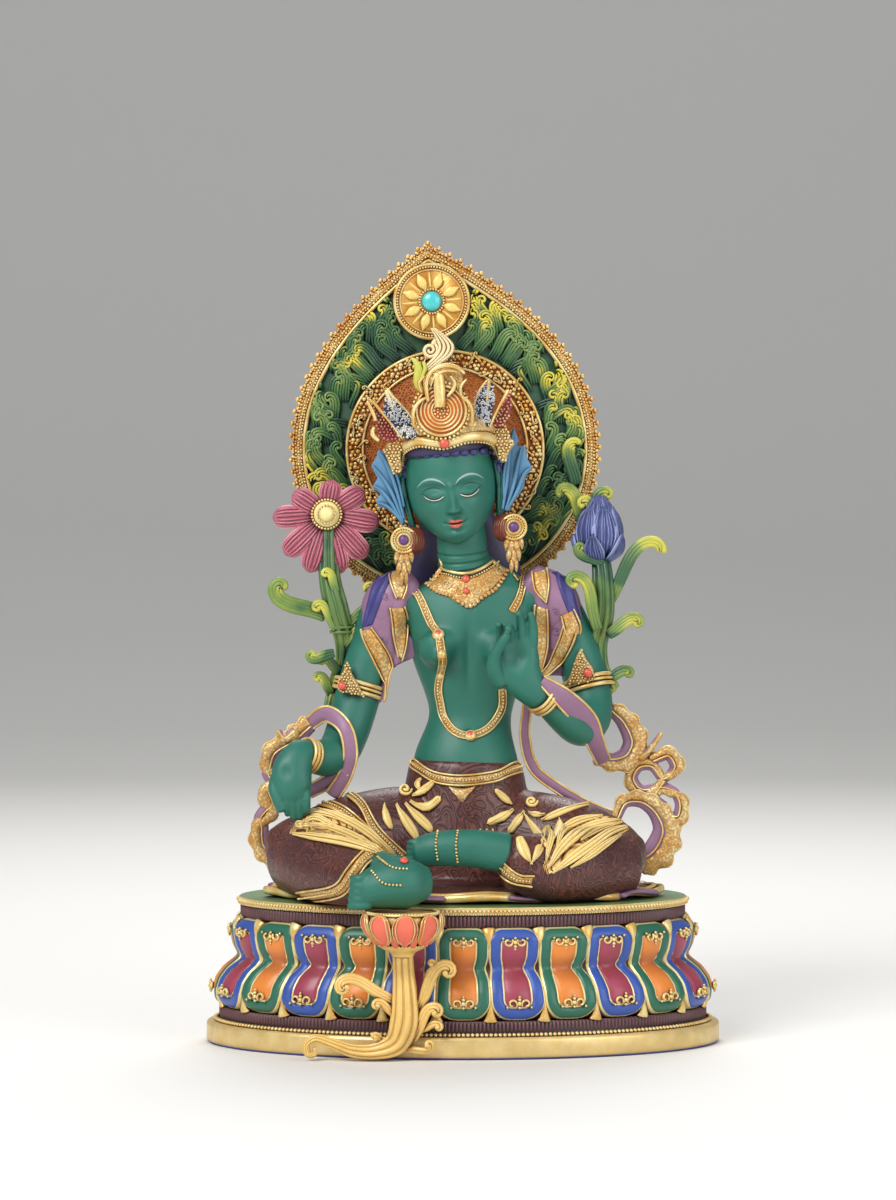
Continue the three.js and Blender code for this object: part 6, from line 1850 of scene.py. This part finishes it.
# A stem with ridges along it: a thick core and thinner stalks wound close round it
def flutedStem(stations, ridges=7, facing=front, at=onPlate, rings=60):
    rows = through(stations, rings)
    centres = at(rows[:, :3])
    alongs = unit(np.gradient(centres, axis=0))
    across = unit(np.cross(alongs, facing))
    over = np.cross(across, alongs)
    made = [sweep(centres, facing, rows[:, 3] * 0.86, rows[:, 3] * 0.86, 20)]
    for i in range(ridges):
        turn = 2 * np.pi * i / ridges + 0.25
        spot = centres + (across * math.cos(turn) + over * math.sin(turn)) * rows[:, 3:4] * 0.78
        made.append(sweep(spot, facing, rows[:, 3] * 0.3, rows[:, 3] * 0.3, 8, 0.8, 2))
    return made


def makeOpenLotus():
    centre = np.array([-50.6, 11, 140.6])
    petals = []
    for i, (degrees, reach) in enumerate(petalTurns):
        turn = math.radians(degrees)
        way = np.array([math.sin(turn), 0, -math.cos(turn)])
        rows = through([[*(centre + way * reach * part + (0, back - 0.25 * (i % 2), 0)), half, 1.5] for part, back, half in
                        ((0.16, 1.0, 1.9), (0.36, -0.8, 3.4), (0.58, -1.9, 4.3), (0.8, -2.0, 4.4), (0.93, -1.0, 3.6),
                         (0.99, 0.2, 1.9))], 26)
        petals.append(sweep(onPlate(rows[:, :3]), front, rows[:, 3], rows[:, 4] * 0.8, 24, 0.5))
        for lane in (-0.62, -0.32, 0, 0.32, 0.62):  # raised veins
            side = np.cross(way, front) * 1.0
            vein = rows[3:-3, :3] + side * rows[3:-3, 3:4] * lane + front * (1.24 * math.sqrt(1 - lane ** 2))
            petals.append(sweep(onPlate(vein), front, 0.26, 0.24, 6, 0.8, 2))
    proto = bead()
    beads = [copies(proto, circle(list(centre + (0, -3.2, 0)), 5.4, 30), front, 0.6),
             copies(proto, circle(list(centre + (0, -5.6, 0)), 3.4, 18), front, 0.42)]
    heart = [ball(list(centre + (0, -2.6, 0)), [5.0, 3.4, 5.0]), ball(list(centre + (0, -4.4, 0)), [3.0, 2.6, 3.0])]
    made = together("open_lotus_petals", petals, streakPaint("pinkPaint", tone(184, 92, 112), tone(216, 142, 152), tone(118, 46, 64)))
    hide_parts("open_lotus")
    together("open_lotus_heart", heart, paint("heartPaint", tone(238, 222, 150), tone(170, 110, 50), 0.35, 1, 0.9, 0.15, coat=0.5))
    together("open_lotus_beads", beads, giltBeads)
    stem = flutedStem([[-50, 13, 138, 3.4], [-49.6, 9, 118, 3.8], [-47, 7, 106, 4.2], [-44, 9.5, 95, 3.8],
                       [-43.6, 13.5, 86, 3.8], [-47, 13, 77, 3.1], [-49.6, 9, 68, 2.3]])
    leaves = []
    for base, heading, length, curl, lanes, wide, y in (
            ((-51, 103), 2.7, 30, -0.82, 4, 1.3, 6.4), ((-47, 98), 2.2, 17, 1, 3, 1.0, 5), ((-48, 89), 3.3, 13, -1, 3, 1.1, 5),
            ((-46, 82), 2.5, 12, 1, 3, 1.0, 9.5), ((-43, 99), 0.9, 24, 0.75, 3, 1.0, 7.5), ((-49, 74), 2.2, 12, 1, 3, 1.0, 9),
            ((-47, 112), 2.0, 12, 0.9, 3, 0.9, 4.5), ((-44, 92), 0.8, 11, -1, 3, 0.9, 7)):
        leaves += spray(base, heading, length, curl, lanes, wide * 0.95, wide, wide * 1.1, standing, y, rise=0.5)
    for level in (98.6, 96.8):
        leaves.append(hoop(circleFlat([-44.8, 9, level], 4.4, 32), unit(circleFlat([0, 0, 0], 1, 32, onFloor)), 0.6, 0.6))
    together("open_lotus_stem", stem, stemPaint)
    together("open_lotus_leaves", leaves, leafPaint)
    remove(proto)


def circleFlat(centre, radius, count, at=onPlate):  # a level ring of spots
    turn = np.linspace(0, 2 * np.pi, count, endpoint=False)
    return at(np.stack([np.cos(turn) * radius, np.sin(turn) * radius, 0 * turn], 1) + centre)


def makeBlueLotus():
    petals = []
    middle = np.array([51, 13])
    for layer, (count, shift, rows_) in enumerate((
            (5, 0.9, ((1.5, 126, 2.6), (4.6, 132, 4.8), (5.2, 138, 4.9), (3.6, 143.4, 3.2), (1.0, 147, 0.8))),
            (6, 0.25, ((2.5, 124.5, 2.8), (6.4, 129, 5.2), (7.4, 134.6, 5.2), (6.2, 139.6, 3.8), (4.4, 143, 0.9))),
            (5, -0.3, ((3.0, 123, 2.4), (7.0, 125.6, 4.0), (9.0, 129, 3.4), (9.6, 133, 0.5))))):
        for i in range(count):
            turn = i * 2 * np.pi / count + shift - np.pi / 2
            side = np.array([math.cos(turn), math.sin(turn), 0])
            rows = through([[*(middle + side[:2] * r), z, w, 1.1] for r, z, w in rows_], 20)
            petals.append(sweep(onPlate(rows[:, :3]), side, rows[:, 3], rows[:, 4], 16, 0.5))
            across = np.cross(side, upward)
            for lane in (-0.55, 0, 0.55):
                vein = rows[2:-2, :3] + across * rows[2:-2, 3:4] * lane + side * (1.1 * math.sqrt(1 - lane ** 2))
                petals.append(sweep(onPlate(vein), side, 0.24, 0.22, 6, 0.8, 2))
    made = together("blue_lotus_bud", petals, streakPaint("budPaint", tone(66, 78, 138), tone(150, 160, 204), tone(34, 28, 76)))
    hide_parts("blue_lotus")
    stem = flutedStem([[51, 13, 127, 3.0], [52, 9, 117, 3.7], [52, 8, 104, 4.1], [49.6, 8, 92, 4.0], [50.6, 7.4, 83, 3.8],
                       [55, 6, 75.4, 3.4]])
    leaves = []
    for base, heading, length, curl, lanes, wide, y in (
            ((50, 98), 1.95, 31, 0.95, 3, 1.2, 1), ((54, 107), 1.05, 37, -0.5, 3, 1.25, 8.6), ((54, 96), 0.5, 18, -0.9, 4, 1.0, 5.5),
            ((50, 134), 1.9, 18, 0.85, 3, 1.2, 14.5), ((46, 136), 2.0, 22, 0.6, 4, 1.1, 17.5), ((43, 152), 1.8, 20, -0.5, 4, 1.1, 31.2),
            ((54, 80), 0.3, 12, -1, 3, 1.1, 3), ((49, 90), 2.4, 12, 1, 3, 1.0, 4.5), ((52, 122), 2.6, 16, -0.9, 3, 1.0, 7.6),
            ((46.5, 140), 0.9, 17, -1, 3, 1.2, 17)):
        leaves += spray(base, heading, length, curl, lanes, wide * 0.95, wide, wide * 1.1, standing, y, rise=0.5)
    together("blue_lotus_stem", stem, stemPaint)
    together("blue_lotus_leaves", leaves, leafPaint)


stemPaint = alongPaint("stemPaint", tone(40, 82, 56), tone(82, 114, 56), tone(150, 158, 70), tone(12, 36, 24), 0.75)
leafPaint = alongPaint("leafPaint", tone(48, 92, 56), tone(114, 140, 62), tone(198, 192, 74), tone(16, 44, 26), 0.95)
makeOpenLotus()
makeBlueLotus()
print("flowers made")


# ---------------------------------------------------------------- scarves
scarves = {
    "scarf_left": [
        ([[29, -24, 80, 2], [37, -22.5, 73.5, 4], [45, -15, 65, 4.6], [49, -8, 56, 3.6], [52, 1, 49.4, 3]], 6, 1.6),
        ([[50, 2, 51, 3], [55, 5, 48.6, 3.4], [61.6, 7, 50, 4.6], [64.4, 8, 56, 4.8], [61, 8, 63.6, 4], [55.4, 7, 68.6, 2.6]],
         8, 2.3),
        ([[66, 7, 50, 2], [69.4, 6, 53, 1.8], [73.6, 5, 59, 1.2]], 4, 2.3),
        ([[70.5, 7, 49.4, 2], [76.6, 6, 51.6, 2.6], [79.6, 6, 46.6, 2.8], [74.6, 7, 42.6, 2.2], [70.4, 8, 47.4, 2.4],
          [65, 8, 47, 2.6], [62.6, 8, 42, 2.6], [66.4, 8, 37.4, 2.6], [75, 7, 38.4, 2.6], [81, 6, 34.6, 2.6],
          [80.6, 6, 28, 2.8], [76, 7, 27.6, 2.6]], 13, 2.3),
        ([[56.8, 3, 28, 2], [60, 4, 34, 2.6], [66.6, 5, 34.6, 3.2], [72.6, 6, 30.4, 4], [76, 6, 23, 5.4], [73, 6, 15, 6],
          [66, 6, 10, 4.6]], 8, 2.3),
        ([[74.6, 7, 41.6, 2], [70, 7, 34.6, 3.4], [74, 7, 31, 3.4]], 4, 2.3),
        ([[23.8, -8, 71, 1.6], [23, -2, 58, 2], [26.4, 2, 46.4, 2], [36, 3, 38.6, 2], [47, 3, 32, 2.2], [58, 3, 27.6, 2.2]],
         8, 1.8)],
    "scarf_right": [
        ([[-57, 0, 63, 2.6], [-50.4, -4, 67, 3.2], [-43.6, -10, 62.4, 2.8], [-41.4, -11, 53, 2.8], [-43.4, -9, 44.6, 2.8],
          [-48, -7, 37, 3]], 7, 1.6),
        ([[-43.6, -9, 46.6, 2.6], [-51, -5, 41.4, 2.8], [-57, -2, 38, 2.6]], 4, 2.3),
        ([[-62, -2, 60, 3], [-66, -2, 57.6, 2.4], [-68.4, -2, 60.4, 1.4]], 4, 2.3),
        ([[-57, 0, 63, 3.4], [-63, -1, 58, 4], [-70.6, -2, 52.6, 3.6], [-71.6, -2, 45.6, 3.6], [-68, -2, 41, 3.6],
          [-72.6, -2, 38, 4], [-71, -2, 32, 4], [-75, -2, 26, 3.6], [-74.6, -3, 17.6, 3.6], [-68, -5, 11.4, 3.4]], 11, 2.3)],
    "plain": {"scarf_left": (0, 6), "scarf_right": (0, 1)},  # bands of cloth with thin gold edges only
}


def makeScarves():
    for name in ("scarf_left", "scarf_right"):
        lilac, edges, lines = [], [], []
        for index, (stations, rings, depth) in enumerate(scarves[name]):
            rows = through(stations, rings * 8)
            centres = onPlate(rows[:, :3])
            half = rows[:, 3:4]
            side = unit(np.cross(unit(np.gradient(centres, axis=0)), front))
            if index in scarves["plain"][name]:
                lilac.append(sweep(centres, front, rows[:, 3], depth * 0.8, 16, 0.4))
                for sign in (-1, 1):
                    lines.append(sweep(centres + side * half * 0.86 * sign + front * depth * 0.4, front, 0.5, 0.6, 8, 0.6))
                continue
            away = ((centres - centres.mean(0)) * side).sum(1, keepdims=True)
            sign = np.tanh(settle(away, 6) / 2.5)
            length = np.cumsum(np.linalg.norm(np.gradient(centres, axis=0), axis=1))
            lobes = 1 + 0.16 * np.sin(length * 1.15)
            lilac.append(sweep(centres - side * half * 0.3 * sign, front, rows[:, 3] * 0.72, depth * 0.7, 16, 0.4))
            edges.append(sweep(centres + side * half * (0.26 + 0.1 * lobes[:, None]) * sign + front * depth * 0.3, front,
                               rows[:, 3] * 0.62 * lobes, depth * 0.72, 16, 0.6))
            for place in (-0.32, 0.95):
                lines.append(sweep(centres + side * half * place * sign * (1 if place < 0 else lobes[:, None])
                                   + front * depth * 0.85 * (1 if place < 0 else 0.4), front, 0.36, 0.5, 8, 0.6))
        made = together(name + "_cloth", lilac, lilacPaint)
        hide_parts(name)
        together(name + "_edges", edges, giltStippled)
        together(name + "_lines", lines, giltFine)


makeScarves()
print("scarves made")


# ---------------------------------------------------------------- small lotus under the foot
def makeFootLotus():
    centre = np.array([-21.6, -66.5])
    top = 54.0
    profile = through([[12.4, -0.6], [12.8, -2.6], [12.4, -5], [10.6, -8.6], [8.0, -11.0], [8.6, -11.8], [7.6, -13],
                       [4.6, -14.6], [3.8, -16]], 50)
    rows = np.stack([0 * profile[:, 0] + centre[0], 0 * profile[:, 0] + centre[1], top + profile[:, 1]], 1)
    bowl = [sweep(rows, front, profile[:, 0], profile[:, 0], 64, 0.02)]
    petals, outlines, beads = [], [], []
    proto = bead()
    for layer, (count, levels) in enumerate(((9, ((-0.7, 13.0, 1.6), (-2.2, 13.6, 3.7), (-5.4, 13.4, 4.6), (-8.8, 11.4, 3.6),
                                                  (-11, 9.4, 1.0))),
                                             (9, ((-7, 12.1, 0.4), (-9.0, 11.0, 1.5), (-11, 9.0, 1.3), (-11.8, 8.2, 0.5))))):
        for i in range(count):
            turn = (i + 0.5 * layer + 0.1) * 2 * np.pi / count
            way = np.array([math.sin(turn), -math.cos(turn), 0])
            path = through([[*(np.array([centre[0], centre[1], top + z]) + way * r), w] for z, r, w in levels], 20)
            petals.append(sweep(path[:, :3], way, path[:, 3], 0.9, 14, 0.6))
            across = np.cross(way, upward)
            if layer == 0:
                for scale, tall in ((0.98, 0.25), (0.74, 0.75)):
                    edge = [path[:, :3] + across * path[:, 3:4] * scale * sign + way * tall for sign in (-1, 1)]
                    outlines.append(hoop(np.vstack([edge[0], edge[1][::-1]]), way, 0.24, 0.4, 6))
    turn = np.linspace(0, 2 * np.pi, 64, endpoint=False)
    rim = np.stack([np.sin(turn), -np.cos(turn), 0 * turn], 1)
    outlines.append(hoop(rim * 12.9 + (*centre, top - 0.4), rim, 0.5, 0.6))
    for radius, level, count in ((12.9, -0.1, 70), (8.6, -11.8, 44)):
        turn = np.linspace(0, 2 * np.pi, count, endpoint=False)
        ring = np.stack([np.sin(turn), -np.cos(turn), 0 * turn], 1)
        beads.append(copies(proto, ring * radius + (*centre, top + level), ring, 0.55))
    front_ = -62.0

    def along(x, z, half):
        return [centre[0] + x, front_, z * top, half]

    def drawnOn(points, y=0.0):
        points = np.array(points, float)
        return np.stack([points[:, 0] + centre[0], y + 0 * points[:, 0] + front_, points[:, 1]], 1)
    stem = flutedStem([[centre[0], centre[1], 39, 3.5], along(0.3, 0.58, 3.7), along(0.8, 0.42, 4.4), along(0.6, 0.26, 5.0),
                       along(-2.4, 0.12, 4.2), along(-10, 0.065, 3), along(-18, 0.07, 2.4), along(-25, 0.115, 1.9),
                       along(-31, 0.15, 1.6), along(-34.4, 0.11, 1.4), along(-34, 0.05, 1.2), along(-31.6, 0.05, 1.0),
                       along(-31.4, 0.09, 0.8)], 8, at=onFloor, rings=100)
    leaves = []
    for base, heading, length, curl, lanes, wide, y in (
            ((-3.4, 22), 2.8, 29, 1, 3, 1.1, -2.4), ((5, 18), 1.0, 29, -1, 3, 1.1, -2.4), ((3.4, 8), 0.95, 21, -1, 3, 1.05, -2.8),
            ((6, 11), 0.3, 11, -1, 2, 0.9, -2.4), ((-2.5, 16), 2.5, 13, 1, 2, 0.95, -2.6), ((-7, 6), 2.3, 7, 1, 2, 0.8, -1.4),
            ((8.4, 30), 1.2, 9, 1, 2, 0.8, -2.2), ((0, 4), 0.15, 15, 1, 2, 0.95, -1.8)):
        leaves += spray(base, heading, length, curl, lanes, wide * 0.95, wide, wide * 1.1, drawnOn, y + 2.6, rise=3.4)
    made = together("foot_lotus_stem", [*bowl, *stem, *leaves], paint("stemGold", tone(228, 188, 104), tone(112, 58, 22), 0.32, 2.0,
                                                                      1, 0.18, coat=0.6))
    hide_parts("foot_lotus")
    together("foot_lotus_petals", petals, paint("coralPetal", tone(232, 108, 84), tone(130, 44, 30), 0.4, 1.2, 0.8, 0.15))
    together("foot_lotus_lines", outlines, giltFine)
    together("foot_lotus_beads", beads, giltBeads)
    remove(proto)


makeFootLotus()
print("foot lotus made")
